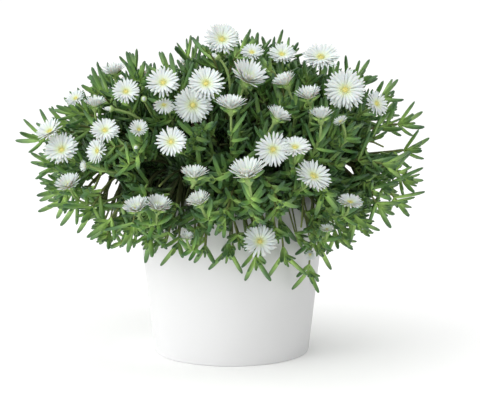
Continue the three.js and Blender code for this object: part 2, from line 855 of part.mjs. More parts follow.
// Bend of a path that rises over the rim before it comes down to its end
function archOver(start, end) {
  const drop = Math.max(0, ROOT_HEIGHT - end.z);
  const bend = blend(start, end, 0.55);
  bend.z = Math.max(start.z, end.z) - 0.25 * Math.max(0, end.z - start.z) + 8 + 0.12 * drop;
  return bend;
}

function shootPath(end, blooms) {
  const region = regionOf(end);
  const settled = pushInside(region, end, PATH_CLEARANCE + 0.4);
  const path = findPath(region, settled, (start) => archOver(start, settled), blooms, null);
  if (!path) {
    return null;
  }
  return { path, region, side: pathSide(path), start: rootedShare(path) };
}

// Rings of a leafy shoot: four corners each, square to the shoot
function shootRing(shoot, share) {
  const ahead = shoot.path.getTangent(share);
  const first = shoot.side.clone().addScaledVector(ahead, -shoot.side.dot(ahead)).normalize();
  const second = ahead.clone().cross(first);
  return { centre: shoot.path.getPoint(share), ahead, first, second };
}

function ringCorners(ring, spin) {
  return [0, 1, 2, 3].map((k) => {
    const angle = spin + Math.PI * (0.5 * k - 0.25);
    return ring.centre.clone()
      .addScaledVector(ring.first, SHOOT_RADIUS * Math.cos(angle))
      .addScaledVector(ring.second, SHOOT_RADIUS * Math.sin(angle));
  });
}

// Leaves

function leafPoint(leaf, share) {
  return leaf.root.clone()
    .addScaledVector(leaf.direction, leaf.length * share)
    .addScaledVector(leaf.bend, leaf.length * share * share);
}

function leafIsClear(leaf, region, blooms) {
  const half = leaf.width / 2;
  if (!insideRegion(region, leafPoint(leaf, LEAF_WIDEST), half + 0.1)) {
    return false;
  }
  if (!insideRegion(region, leafPoint(leaf, 1), 0.1)) {
    return false;
  }
  return [0.2, 0.4, 0.6, 0.8, 1].every((share) => {
    const point = leafPoint(leaf, share);
    const margin = share < 0.9 ? half + 0.5 : 0.8;
    if (inGap(point, 1) || inHollow(point) || blooms.some((bloom) => hidesBloom(bloom, point))) {
      return false;
    }
    return clearOfBlooms(blooms, point, margin, null) && clearOfPot(point, margin);
  });
}

// Length of a grown leaf: longer on the low shoots than on the high ones
function leafLength(height) {
  const low = Math.min(1, Math.max(0, (HIGH_HEIGHT - height) / (HIGH_HEIGHT - LOW_HEIGHT)));
  return LEAF_LENGTH + (LOW_LEAF_LENGTH - LEAF_LENGTH) * low;
}

// A leaf, turned round its shoot or made shorter until it is clear
function findLeaf(shoot, ring, turn, splay, size, blooms) {
  for (const shorter of [1, 0.78, 0.6]) {
    for (const swing of [0, 18, -18, 36, -36]) {
      const angle = radians(turn + swing);
      const direction = ring.ahead.clone().multiplyScalar(Math.cos(radians(splay)))
        .addScaledVector(ring.first, Math.sin(radians(splay)) * Math.cos(angle))
        .addScaledVector(ring.second, Math.sin(radians(splay)) * Math.sin(angle));
      const leaf = {
        root: ring.centre,
        direction,
        bend: ring.ahead.clone().multiplyScalar(LEAF_TURN).addScaledVector(UP, LEAF_LIFT),
        length: size * shorter,
        width: LEAF_WIDTH * (0.8 + 0.2 * size / LOW_LEAF_LENGTH),
      };
      if (leafIsClear(leaf, shoot.region, blooms)) {
        return leaf;
      }
    }
  }
  return null;
}

// Leaf pairs of one shoot, each pair a quarter turn on, the last at the shoot's end
function addLeaves(shoot, pairs, blooms, draw) {
  const length = shoot.path.getLength();
  const grown = leafLength(shoot.path.v2.z);
  shoot.spin = radians(90 * draw());
  shoot.pairs = [];
  for (let pair = 0; pair < pairs; pair += 1) {
    const back = pair * PAIR_SPACING * (0.9 + 0.2 * draw());
    const range = pair === 0 ? END_SPLAY : SIDE_SPLAY;
    const splay = range.least + range.range * draw();
    const size = grown * (pair === 0 ? 0.8 : 1) * (0.82 + 0.36 * draw());
    const top = 1 - back / length;
    const foot = top - LEAF_FOOT / length;
    if (foot < shoot.start + 0.1) {
      continue;
    }
    const ring = shootRing(shoot, (top + foot) / 2);
    const leaves = [0, 1, 2, 3].map((side) => {
      const turn = shoot.spin * 180 / Math.PI + 90 * side;
      return side % 2 === pair % 2 ? findLeaf(shoot, ring, turn, splay, size, blooms) : null;
    });
    shoot.pairs.unshift({ foot, top, leaves });
  }
}

// One body: a square stem with its leaves drawn out of its sides
function shootSolid(shoot) {
  const corners = [];
  const faces = [];
  const addRing = (points) => {
    corners.push(...points);
    return corners.length - 4;
  };
  const wall = (low, high, side) => {
    const next = (side + 1) % 4;
    faces.push(low + side, low + next, high + next, low + side, high + next, high + side);
  };
  const firstFoot = shoot.pairs.length > 0 ? shoot.pairs[0].foot : 1;
  const bends = Math.max(1, Math.ceil((firstFoot - shoot.start) * shoot.path.getLength() / SHOOT_STEP));
  let last = null;
  const stretch = (share) => {
    const ring = addRing(ringCorners(shootRing(shoot, share), shoot.spin));
    if (last === null) {
      faces.push(ring, ring + 2, ring + 1, ring, ring + 3, ring + 2);
    } else {
      [0, 1, 2, 3].forEach((side) => wall(last, ring, side));
    }
    last = ring;
  };
  for (let k = 0; k < bends; k += 1) {
    stretch(shoot.start + (firstFoot - shoot.start) * k / bends);
  }
  for (const pair of shoot.pairs) {
    stretch(pair.foot);
    const top = addRing(ringCorners(shootRing(shoot, pair.top), shoot.spin));
    for (let side = 0; side < 4; side += 1) {
      const next = (side + 1) % 4;
      if (pair.leaves[side]) {
        growLeaf(pair.leaves[side], [last + side, last + next, top + next, top + side], corners, faces);
      } else {
        wall(last, top, side);
      }
    }
    last = top;
  }
  if (shoot.pairs.length === 0) {
    stretch(1);
  }
  faces.push(last, last + 1, last + 2, last, last + 2, last + 3);
  return solidFromFaces(corners, faces);
}

// A leaf with four sides, from a foot on the stem to its widest part and its tip
function growLeaf(leaf, foot, corners, faces) {
  const across = corners[foot[1]].clone().sub(corners[foot[0]]);
  const first = across.addScaledVector(leaf.direction, -across.dot(leaf.direction)).normalize();
  const second = leaf.direction.clone().cross(first);
  const widest = corners.length;
  for (const [x, y] of [[-1, 1], [1, 1], [1, -1], [-1, -1]]) {
    corners.push(leafPoint(leaf, LEAF_WIDEST)
      .addScaledVector(first, x * leaf.width * Math.SQRT1_2 / 2)
      .addScaledVector(second, -y * leaf.width * Math.SQRT1_2 / 2));
  }
  corners.push(leafPoint(leaf, 1));
  for (let k = 0; k < 4; k += 1) {
    const next = (k + 1) % 4;
    faces.push(foot[k], foot[next], widest + next, foot[k], widest + next, widest + k);
    faces.push(widest + k, widest + next, widest + 4);
  }
}

function shootEnds() {
  const ends = FRONT_SHOOTS.map(
    (row) => sightPoint(row.u, row.v, placedDistance(row, SHOOT_SHELL, FRINGE_ROOM)),
  );
  for (let k = 0; k < SPREAD_COUNT; k += 1) {
    const height = 1 - (1 - SPREAD_LOW) * (k + 0.5) / SPREAD_COUNT;
    const flat = Math.sqrt(1 - height * height);
    const angle = radians(GOLDEN_ANGLE * k);
    const direction = new THREE.Vector3(flat * Math.cos(angle), flat * Math.sin(angle), height);
    const end = domePoint(direction, SPREAD_SHELL - CROWN_DROP * Math.max(0, height));
    if (ends.every((other) => other.distanceTo(end) > SHOOT_SPACING)) {
      ends.push(end);
    }
  }
  return ends;
}

function layOutShoots(blooms) {
  const draw = makeDraw(SPREAD_SEED);
  const shoots = [];
  for (const [index, end] of shootEnds().entries()) {
    const pairs = index < FRONT_SHOOTS.length ? PAIRS_ON_FRONT_SHOOT : PAIRS_ON_SPREAD_SHOOT;
    for (const share of [1, 0.93, 0.86, 0.8]) {
      const middle = new THREE.Vector3(DOME.x, DOME.y, DOME.z);
      const shoot = shootPath(blend(middle, end, share), blooms);
      if (shoot) {
        addLeaves(shoot, pairs, blooms, draw);
        shoots.push(shoot);
        break;
      }
    }
  }
  return shoots;
}

// A closed bud is a short stout leaf at the end of a bare shoot
function layOutBuds(blooms) {
  const buds = [];
  for (const row of BUDS) {
    const end = sightPoint(row.u, row.v, placedDistance(row, BLOOM_SHELL, FRINGE_ROOM));
    const shoot = shootPath(end, blooms);
    if (shoot) {
      buds.push({ ...shoot, radius: row.radius });
    }
  }
  return buds;
}

function budSolid(bud) {
  const geometry = new THREE.SphereGeometry(bud.radius, 5, 3);
  geometry.scale(1, 1.5, 1);
  const pole = new THREE.Vector3(0, 1, 0);
  geometry.applyQuaternion(new THREE.Quaternion().setFromUnitVectors(pole, bud.path.getTangent(1)));
  const middle = bud.path.getPoint(1);
  geometry.translate(middle.x, middle.y, middle.z);
  return toSolid(geometry);
}

// Core of the foliage: inner leaf tips that stand out between dips, cut to one region

function regionPrism(region) {
  const outline = new THREE.Shape();
  const half = Math.PI / SECTOR_COUNT;
  const corners = [];
  if (region === SECTOR_COUNT) {
    for (let k = 0; k < SECTOR_COUNT; k += 1) {
      const angle = sectorAngle(k) + half;
      corners.push(polar((CROWN_REACH - REGION_GAP) / Math.cos(half), angle, 0));
    }
  } else {
    const middle = sectorAngle(region);
    const far = 2 * DOME.wide;
    const near = CROWN_REACH + REGION_GAP;
    for (const [distance, side] of [[near, -1], [far, -1], [far, 1], [near, 1]]) {
      const width = side * (distance * Math.tan(half) - REGION_GAP / Math.cos(half));
      corners.push(polar(distance, middle, 0).add(polar(width, middle + Math.PI / 2, 0)));
    }
  }
  outline.setFromPoints(corners.map((corner) => new THREE.Vector2(corner.x, corner.y)));
  const geometry = new THREE.ExtrudeGeometry(outline, { depth: DOME.up, bevelEnabled: false });
  geometry.translate(0, 0, CORE_FLOOR);
  return toSolid(geometry);
}

function coreDome() {
  const geometry = new THREE.SphereGeometry(1, CORE_SIDES, CORE_ROWS);
  geometry.rotateX(Math.PI / 2);
  const place = geometry.attributes.position;
  for (let k = 0; k < place.count; k += 1) {
    const row = Math.floor(k / (CORE_SIDES + 1));
    const column = k % (CORE_SIDES + 1) % CORE_SIDES;
    const isTip = row > 0 && row < CORE_ROWS && (row + column) % 2 === 1;
    const way = new THREE.Vector3().fromBufferAttribute(place, k);
    const point = domePoint(way, isTip ? CORE_TIPS : CORE_DIPS);
    place.setXYZ(k, point.x, point.y, point.z);
  }
  return toSolid(geometry);
}

function stemPlace(region) {
  return region === SECTOR_COUNT ? polar(0, 0, 0) : polar(STEM_RING, sectorAngle(region), 0);
}

function leafyStem(region, dome, blooms, stalks, shoots, buds) {
  const core = dome.intersect(regionPrism(region));
  const stem = uprightCylinder(STEM_RADIUS, STEM_FOOT + GAP, STEM_TOP, 6, stemPlace(region));
  const parts = [core, stem];
  blooms.forEach((bloom, k) => {
    if (bloom.region === region && stalks[k]) {
      parts.push(stalkSolid(stalks[k]));
    }
  });
  for (const shoot of shoots.filter((each) => each.region === region)) {
    parts.push(shootSolid(shoot));
  }
  for (const bud of buds.filter((each) => each.region === region)) {
    parts.push(stalkSolid(bud.path), budSolid(bud));
  }
  return mainBody(joinAll(parts));
}

// Pot and soil

function potSolid() {
  const top = POT_HEIGHT - RIM_ROUND;
  return turned([
    [0, 0],
    [BASE_RADIUS - FOOT_CHAMFER, 0],
    [BASE_RADIUS, FOOT_CHAMFER],
    [RIM_RADIUS, top],
    [RIM_RADIUS - WALL / 2, POT_HEIGHT],
    [RIM_RADIUS - WALL, top],
    [potOuterRadius(POT_FLOOR) - WALL, POT_FLOOR],
    [0, POT_FLOOR],
  ], POT_SIDES);
}

function soilSolid() {
  const foot = POT_FLOOR + GAP;
  const side = WALL + GAP;
  const mound = turned([
    [0, foot],
    [potOuterRadius(foot) - side, foot],
    [potOuterRadius(SOIL_EDGE_HEIGHT) - side, SOIL_EDGE_HEIGHT],
    [0.5 * RIM_RADIUS, SOIL_MIDDLE_HEIGHT - 1],
    [0, SOIL_MIDDLE_HEIGHT],
  ], POT_SIDES);
  let soil = mound;
  for (let region = 0; region <= SECTOR_COUNT; region += 1) {
    const top = SOIL_MIDDLE_HEIGHT + 10;
    soil = soil.subtract(uprightCylinder(HOLE_RADIUS, STEM_FOOT, top, HOLE_SIDES, stemPlace(region)));
  }
  return soil;
}

// The whole plant

function nodeNumber(index) {
  return String(index + 1).padStart(2, '0');
}

function bloomGroups(blooms) {
  const groups = [];
  for (const bloom of blooms) {
    if (bloom.mate) {
      groups[groups.length - 1].push(bloom);
    } else {
      groups.push([bloom]);
    }
  }
  return groups;
}

function buildPlant() {
  const plant = new THREE.Group();
  plant.add(toMesh('pot', potSolid(), COLOURS.pot, 0.55));
  plant.add(toMesh('soil', soilSolid(), COLOURS.soil, 0.95));
  const blooms = layOutBlooms();
  const stalks = blooms.map((bloom) => stalkPath(bloom, blooms));
  const shoots = layOutShoots(blooms);
  const buds = layOutBuds(blooms);
  const dome = coreDome();
  for (let region = 0; region <= SECTOR_COUNT; region += 1) {
    const name = region === SECTOR_COUNT ? 'leafy_stem_middle' : `leafy_stem_${nodeNumber(region)}`;
    const solid = leafyStem(region, dome, blooms, stalks, shoots, buds);
    plant.add(toMesh(name, solid, COLOURS.leaf, 0.5));
  }
  bloomGroups(blooms).forEach((group, index) => {
    const solid = mainBody(joinAll(group.map(bloomSolid)));
    plant.add(toMesh(`bloom_${nodeNumber(index)}`, solid, COLOURS.bloom, 0.7));
  });
  return plant;
}

export default buildPlant();
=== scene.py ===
# Potted ice plant: a plain white tapered pot, dark soil, fleshy-leaved stems and white blooms.
import functools
import math
import random

import bpy
import numpy as np
from bpy.props import FloatProperty, FloatVectorProperty, IntProperty, PointerProperty
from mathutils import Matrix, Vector, noise


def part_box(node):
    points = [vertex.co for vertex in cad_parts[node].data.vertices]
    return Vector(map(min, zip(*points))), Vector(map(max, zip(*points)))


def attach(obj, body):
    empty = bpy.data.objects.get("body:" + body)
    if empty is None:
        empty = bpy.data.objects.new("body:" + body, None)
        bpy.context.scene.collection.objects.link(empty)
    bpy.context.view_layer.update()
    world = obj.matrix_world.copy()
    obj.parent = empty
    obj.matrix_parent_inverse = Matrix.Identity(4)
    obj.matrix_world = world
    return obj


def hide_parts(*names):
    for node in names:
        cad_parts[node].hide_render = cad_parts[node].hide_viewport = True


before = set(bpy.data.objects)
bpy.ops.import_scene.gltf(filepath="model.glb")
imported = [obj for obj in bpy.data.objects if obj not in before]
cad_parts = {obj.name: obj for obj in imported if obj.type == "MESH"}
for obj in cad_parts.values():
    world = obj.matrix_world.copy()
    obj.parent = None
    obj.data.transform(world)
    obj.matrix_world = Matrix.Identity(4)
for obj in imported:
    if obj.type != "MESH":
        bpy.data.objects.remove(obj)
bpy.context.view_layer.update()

bl_info = {
    "name": "Potted ice plant",
    "version": (1, 0, 0),
    "blender": (4, 5, 0),
    "location": "3D View > Sidebar > Ice plant",
    "description": "Makes a flowering ice plant in a white pot, piece by piece",
    "category": "Add Mesh",
}

# The plan of the plant is in millimetres, in the part's own frame, and meshes are in metres.
MM = 0.001

# Pot; its top is read from the frame, and the bend in its foot has a height and an inset
POT_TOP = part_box("pot")[1][2] / MM
POT_HEIGHT = 130
RIM_RADIUS = 75
BASE_RADIUS = 60.5
WALL = 4
POT_FLOOR = 5
FOOT_CHAMFER = 1.5
FOOT_BEND = (0.45, 0.4)
LIP_STEPS = 12

# Soil and the main stems that stand in it
SOIL_EDGE_HEIGHT = 115
SOIL_MIDDLE_HEIGHT = 120
STEM_RADIUS = 2.4
STEM_TOP = 150
STEM_RING = 55
STEM_SINK = 4
SOIL_STEPS = 30
GAP = 0.3

# Outline of the foliage: two half ellipsoids that meet at their widest height
DOME_MIDDLE = np.array([-6.0, 0.0, 151.0])
DOME_WIDE = 158
DOME_DEEP = 150
DOME_UP = 104
DOME_DOWN = 86

# Shaded core of the foliage: its floor, how far the finer core stays above it, its size as a share
# of the outline, and its ripples
CORE_FLOOR = 134
CORE_LIFT = 2
CORE_SHARE = 0.47
CORE_RIPPLE = 0.035

# Leafy stems: one round the middle, the others in equal sectors round it
SECTOR_COUNT = 9
CROWN_REACH = 46
REGION_GAP = 0.25
ROOT_RADIUS = 64
ROOT_HEIGHT = 150
CROWN_ROOT_RADIUS = 16
SHOOT_RADIUS = 1.3
ROOTED_SHARE = 0.45
ROOTED_LIFT = 3
ROOT_TURN = 0.45
PATH_CLEARANCE = 1.7
END_CLEARANCE = PATH_CLEARANCE + 0.4
OWN_REACH = 7
STRAIGHT_ARRIVAL = 0.6
SHOOT_SWAY = 18
SWAY_SPACING = 6

# What is tried until a shoot or stalk is clear: lifts and swings of its bend in millimetres, how far
# a stalk arrives straight, and how far out a shoot ends; and the shares of a path that are tested
PATH_LIFTS = (0, 10, -10, 20, -20, 30)
PATH_SWINGS = (0, 8, -8, 16, -16, 24, -24, 32, -32)
STALK_REACHES = (0.4, 0.25, 0.12)
END_SHARES = (1, 0.93, 0.86, 0.8)
PATH_TESTS = np.arange(3, 21) / 20
ROOT_TESTS = [k / 20 for k in range(1, 14)]

# Arch of a shoot over the rim: the share of its way at which it bends, how high the bend lies, and
# how much of the climb is taken off and of the drop added
ARCH_PLACE = 0.55
ARCH_LIFT = 8
ARCH_CLIMB = 0.25
ARCH_DROP = 0.12

# Leaves
LEAF_LENGTH = 19
LOW_LEAF_LENGTH = 26
LOW_HEIGHT = 110
HIGH_HEIGHT = 200
LEAF_WIDTH = 4.2
LEAF_WIDEST = 0.42
LEAF_FOOT = 2.6
LEAF_TURN = 0.14
LEAF_LIFT = 0.2
END_SPLAY = (28, 14)
SIDE_SPLAY = (50, 24)
END_SIZE = 0.8
END_YOUTH = 0.75
SIDE_YOUTH = 0.3
PAIR_SPACING = 12
PAIRS_ON_FRONT_SHOOT = 3
PAIRS_ON_SPREAD_SHOOT = 2
LONG_LEAF = 17.5

# What is tried until a leaf is clear: shares of its length, and turns round its shoot in degrees;
# and the shares of a leaf that are tested
LEAF_CUTS = (1, 0.78, 0.6)
LEAF_SWINGS = (0, 18, -18, 36, -36)
LEAF_TESTS = np.array([0.2, 0.4, 0.6, 0.8, 1.0])

# Room round a leaf: to the edge of its region, to other pieces, and at its tip
EDGE_ROOM = 0.1
LEAF_ROOM = 0.5
TIP_ROOM = 0.8
TIP_START = 0.9

# Added leaves: lengths and depths behind a shoot's end in millimetres, how slim they are, and how
# far their shoots turn outwards and upwards
INNER_LEAF = 15
INNER_DEPTH = 46
INNER_SPACING = 7
OUTER_DEPTH = 80
OUTER_SPACING = 9
TUFT_DEPTH = 4
BARE_STALK = 18
END_PAIR_DEPTH = 3.5
SLIM = 0.86
OUTWARDS = 0.8
UPWARDS = 0.35

# Leaves of a young tuft as (turn, splay, share of length), and new leaves beside grown ones: their
# length, the shortest leaf that has them, and the share of such leaves that do
TUFT_LEAVES = ((0, 20, 0.62), (180, 20, 0.62), (90, 12, 0.4), (270, 12, 0.4))
SIDE_TUFT_LEAF = 10
SIDE_TUFT_LEAST = 14
SIDE_TUFT_SHARE = 0.5

# Added shoots: lowest direction and depths in the foliage, in clumps, and the fringe over the rim
INNER_LOW = -0.46
CLUMP_SIZE = 0.24
CLUMP_DEPTHS = (0.54, 0.9)
FRINGE_DEPTH = 60
FRINGE_SPACING = 6.5
FRINGE_HEIGHTS = (93, 134)
FRINGE_REACHES = (10, 34)

# View that the blooms and the outer shoots are placed by, in a frame of 480 by 416 pixels
FRAME_WIDTH = 480
VIEW_DISTANCE = 1700
VIEW_ELEVATION = 12.9
PIXEL_SIZE = 0.788
FRAME_MIDDLE = (240, 208)
POT_FOOT = (231.3, 349)

# Depths in the foliage, as a share of its outline, and how far a line of sight is searched for them
BLOOM_SHELL = 0.93
SHOOT_SHELL = 0.88
SPREAD_SHELL = 0.86
CROWN_DROP = 0.08
SEARCH_REACH = 400
FRINGE_ROOM = 15

# Bloom: depth of its hub and its petals below and above their middle, as shares of its radius; how
# much of the petals' rise the hub has; and how near mates stand, as a share of their radii
HUB_DEPTH = 0.12
HUB_RISE = 0.55
PETAL_BELOW = 0.07
PETAL_ABOVE = 0.16
MATE_DISTANCE = 0.6

# Room that the leaves leave before each bloom, along its axis and towards the front, over a share
# of its radius
HEADROOM = 16
SIGHT_ROOM = 55
SIGHT_SHARE = 0.8

# Oval gaps in the foliage that the front view shows, as (u, v, half width, half height):
# through the whole plant, through the fringe alone, and hollows that reach down to a deeper shell
GAPS_THROUGH = np.array([
    (103, 181, 11, 10), (112, 191, 10, 14), (112, 214, 9, 5),
    (350, 169, 5, 9), (374, 148, 9, 7), (388, 144, 12, 8),
])
GAPS_IN_FRINGE = np.array([(210, 242, 9, 6), (240, 227, 9, 7), (297, 220, 13, 10), (309, 203, 9, 7)])
HOLLOWS = np.array([(166, 172, 22, 17), (183, 195, 14, 12), (267, 166, 14, 10), (222, 142, 9, 11)])
HOLLOW_SHELL = 0.56
STEM_GAP = 0.45

# Light in the foliage: the share of its outline up to which it is dark, and the share over which it
# gets light; how far a hollow's shade spreads, how much light is left in it, and where it ends
DARK_SHARE = 0.5
DARK_FADE = 0.42
HOLLOW_EDGE = 1.3
HOLLOW_LIGHT = 0.2
LIT_SHARE = 0.84

# Blooms seen from the front: place in the view, radius in millimetres, the angle between the
# bloom's axis and the line of sight, the way it leans in the view (90 is up), how far the petals
# rise, and whether it grows into the one before it or stands on the far side.
FRONT_BLOOMS = [
    dict(u=345, v=90, radius=16.8, tilt=10, lean=90, rise=12),
    dict(u=273, v=149, radius=14.0, tilt=20, lean=270, rise=12),
    dict(u=302, v=148, radius=12.4, tilt=50, lean=90, rise=16, mate=True),
    dict(u=171, v=142, radius=12.2, tilt=15, lean=90, rise=12),
    dict(u=206, v=84, radius=14.6, tilt=24, lean=90, rise=14),
    dict(u=191, v=108, radius=15.2, tilt=12, lean=270, rise=12, mate=True),
    dict(u=187, v=66, radius=10.4, tilt=78, lean=80, rise=34, far=True),
    dict(u=163, v=83, radius=13.6, tilt=28, lean=90, rise=14),
    dict(u=164, v=104, radius=9.0, tilt=48, lean=270, rise=20),
    dict(u=222, v=40, radius=15.0, tilt=28, lean=90, rise=16),
    dict(u=321, v=58, radius=15.2, tilt=45, lean=90, rise=14),
    dict(u=126, v=92, radius=11.6, tilt=30, lean=90, rise=16),
    dict(u=113, v=73, radius=11.6, tilt=72, lean=100, rise=32),
    dict(u=105, v=131, radius=11.6, tilt=32, lean=90, rise=16),
    dict(u=139, v=130, radius=8.8, tilt=28, lean=90, rise=34),
    dict(u=61, v=150, radius=14.6, tilt=30, lean=110, rise=20),
    dict(u=50, v=131, radius=12.0, tilt=50, lean=120, rise=26, mate=True),
    dict(u=98, v=151, radius=10.8, tilt=44, lean=170, rise=18),
    dict(u=86, v=166, radius=5.6, tilt=60, lean=180, rise=34),
    dict(u=69, v=186, radius=12.0, tilt=54, lean=110, rise=30),
    dict(u=95, v=106, radius=11.2, tilt=76, lean=90, rise=32),
    dict(u=76, v=99, radius=9.0, tilt=50, lean=120, rise=20),
    dict(u=231, v=108, radius=14.2, tilt=74, lean=90, rise=30),
    dict(u=247, v=80, radius=18.0, tilt=50, lean=66, rise=36),
    dict(u=252, v=53, radius=9.6, tilt=45, lean=90, rise=18),
    dict(u=282, v=55, radius=11.8, tilt=45, lean=90, rise=16),
    dict(u=286, v=84, radius=11.8, tilt=74, lean=115, rise=36),
    dict(u=277, v=118, radius=12.0, tilt=76, lean=60, rise=34),
    dict(u=309, v=98, radius=12.4, tilt=66, lean=100, rise=36),
    dict(u=321, v=118, radius=11.4, tilt=76, lean=90, rise=38),
    dict(u=376, v=104, radius=11.0, tilt=40, lean=30, rise=16),
    dict(u=248, v=176, radius=16.8, tilt=62, lean=100, rise=34),
    dict(u=313, v=177, radius=15.0, tilt=45, lean=60, rise=14),
    dict(u=260, v=242, radius=14.0, tilt=26, lean=90, rise=14),
    dict(u=137, v=210, radius=12.6, tilt=58, lean=105, rise=34),
    dict(u=162, v=208, radius=12.6, tilt=58, lean=80, rise=34, mate=True),
    dict(u=194, v=177, radius=12.6, tilt=74, lean=90, rise=30),
    dict(u=200, v=203, radius=11.2, tilt=60, lean=110, rise=34),
    dict(u=187, v=238, radius=6.4, tilt=60, lean=90, rise=30),
    dict(u=350, v=203, radius=10.6, tilt=60, lean=80, rise=18),
    dict(u=327, v=230, radius=6.4, tilt=60, lean=90, rise=28),
    dict(u=310, v=254, radius=5.6, tilt=30, lean=270, rise=34),
    dict(u=341, v=122, radius=6.4, tilt=60, lean=120, rise=26),
]

# Distances in millimetres behind its place in the view at which a bloom is tried until it meets
# no other
FRONT_STEPS = (0, 5, -5, 10, -10, 15, -15, 20, 26, 32, 38)

# Blooms round the back, in rows of three that grow into each other, with radii from a least value up;
# foliage covers them from the front, to a share of its outline at some depths on the way to the viewer
BACK_ROWS = 9
BACK_SIZES = ((12, 3.5), (9.5, 3.5), (9, 3))
BACK_START = 12
BACK_SPAN = 156
BACK_TURN = 0.618
BACK_TRIES = 24
BACK_STEP = 0.043
COVER_SHARE = 0.88
COVER_SIGHT = 2
COVER_DEPTHS = (30, 60, 90, 120)
BACK_LOW = -0.18
BACK_HIGH = 0.8
BACK_BEND = 142
BACK_LIFT = 0.64
BACK_RISE = 14
MATE_LEAN = 0.3
MATE_RISE = 20
BACK_SEED = 41

# Small closed buds on stalks of their own
BUDS = [
    dict(u=218, v=58, radius=2.7),
    dict(u=144, v=99, radius=2.4),
    dict(u=112, v=109, radius=2.7),
    dict(u=136, v=147, radius=2.2),
]

# Ends of the leafy shoots that make the outline and the fringe over the rim
FRONT_SHOOTS = [
    (40, 139), (52, 165), (60, 189), (74, 206), (90, 212),
    (107, 222), (131, 230), (150, 240), (178, 246), (205, 249),
    (228, 252), (256, 261), (284, 257), (308, 274), (318, 248),
    (336, 238), (357, 222), (380, 208), (398, 202), (404, 180),
    (408, 150), (402, 124), (382, 98), (356, 80), (270, 70),
    (209, 53), (242, 50), (170, 76), (138, 80), (100, 94), (75, 112),
    (64, 124),
]

# The other shoots, spread over the whole outline by a spiral rule
SPREAD_COUNT = 47
SPREAD_LOW = -0.72
SPREAD_SEED = 7
SHOOT_SPACING = 29
GOLDEN_ANGLE = 137.508

UP = np.array([0.0, 0.0, 1.0])


# Vectors and draws

def unit(vector):
    length = math.sqrt(vector @ vector)
    return vector / length if length else vector


def cross(a, b):
    return np.array([
        a[1] * b[2] - a[2] * b[1],
        a[2] * b[0] - a[0] * b[2],
        a[0] * b[1] - a[1] * b[0],
    ])


def polar(radius, angle, height=0.0):
    return np.array([radius * math.cos(angle), radius * math.sin(angle), height])


class Draw:
    """Draws between 0 and 1 that come out the same each time for one seed."""

    def __init__(self, seed):
        self.state = seed

    def __call__(self):
        self.state = (self.state * 1664525 + 1013904223) % 2 ** 32
        return self.state / 2 ** 32


# View

class View:
    """The line of sight through each place in the frame."""

    def __init__(self):
        elevation = math.radians(VIEW_ELEVATION)
        self.focal = VIEW_DISTANCE / PIXEL_SIZE
        self.pitch = elevation - math.atan((POT_FOOT[1] - FRAME_MIDDLE[1]) / self.focal)
        self.yaw = math.atan((FRAME_MIDDLE[0] - POT_FOOT[0]) / self.focal)
        self.eye = np.array([0.0, -math.cos(elevation), math.sin(elevation)]) * VIEW_DISTANCE
        self.forward = np.array([
            math.sin(self.yaw) * math.cos(self.pitch),
            math.cos(self.yaw) * math.cos(self.pitch),
            -math.sin(self.pitch),
        ])
        self.right = np.array([math.cos(self.yaw), -math.sin(self.yaw), 0.0])
        self.up = cross(self.right, self.forward)

    def places(self, points):
        """Where points are seen in the frame, as two rows."""
        reach = points - self.eye
        scale = self.focal / (reach @ self.forward)
        u = FRAME_MIDDLE[0] + (reach @ self.right) * scale
        v = FRAME_MIDDLE[1] - (reach @ self.up) * scale
        return u, v

    def point(self, u, v, distance):
        line = self.forward * self.focal
        line = line + self.right * (u - FRAME_MIDDLE[0]) + self.up * (FRAME_MIDDLE[1] - v)
        return self.eye + unit(line) * distance


VIEW = View()


def is_seen_in(gaps, points, share):
    """True where points are seen within a share of one of the gaps."""
    u, v = (row[:, None] for row in VIEW.places(points))
    middle_u, middle_v, across, tall = gaps.T
    return (np.hypot((u - middle_u) / across, (v - middle_v) / tall) < share).any(axis=1)


def in_gap(points, share=1.0):
    in_fringe = is_seen_in(GAPS_IN_FRINGE, points, share) & (points[:, 1] < 0)
    return is_seen_in(GAPS_THROUGH, points, share) | in_fringe


def in_hollow(points):
    return is_seen_in(HOLLOWS, points, 1.0) & (points[:, 1] < 0) & (dome_share(points) > HOLLOW_SHELL)


# Outline of the foliage

def dome_share(points):
    """Share of the way from the middle of the foliage to its outline."""
    reach = points - DOME_MIDDLE
    tall = np.where(reach[..., 2] > 0, DOME_UP, DOME_DOWN)
    flat = (reach[..., 0] / DOME_WIDE) ** 2 + (reach[..., 1] / DOME_DEEP) ** 2
    return np.sqrt(flat + (reach[..., 2] / tall) ** 2)


def dome_point(direction, share):
    tall = DOME_UP if direction[2] > 0 else DOME_DOWN
    return DOME_MIDDLE + np.array([DOME_WIDE, DOME_DEEP, tall]) * direction * share


def is_covered(point):
    """True where the foliage in front of a point hides it from the viewer."""
    if is_seen_in(GAPS_THROUGH, point[None, :], COVER_SIGHT).any():
        return False
    return any(dome_share(point - VIEW.forward * depth) < COVER_SHARE for depth in COVER_DEPTHS)


def outward_normal(point):
    rise = point[2] - DOME_MIDDLE[2]
    tall = DOME_UP if rise > 0 else DOME_DOWN
    return unit((point - DOME_MIDDLE) / np.array([DOME_WIDE, DOME_DEEP, tall]) ** 2)


def sight_distance(u, v, shell, far):
    """Distance at which a line of sight meets a shell of the foliage, or passes nearest to it."""
    near = VIEW_DISTANCE - SEARCH_REACH
    back = VIEW_DISTANCE + SEARCH_REACH
    low, high = near, back
    for _ in range(60):
        a = low + (high - low) / 3
        b = high - (high - low) / 3
        if dome_share(VIEW.point(u, v, a)) < dome_share(VIEW.point(u, v, b)):
            high = b
        else:
            low = a
    inside = (low + high) / 2
    if dome_share(VIEW.point(u, v, inside)) >= shell:
        return inside
    outside = back if far else near
    for _ in range(40):
        middle = (inside + outside) / 2
        if dome_share(VIEW.point(u, v, middle)) < shell:
            inside = middle
        else:
            outside = middle
    return inside


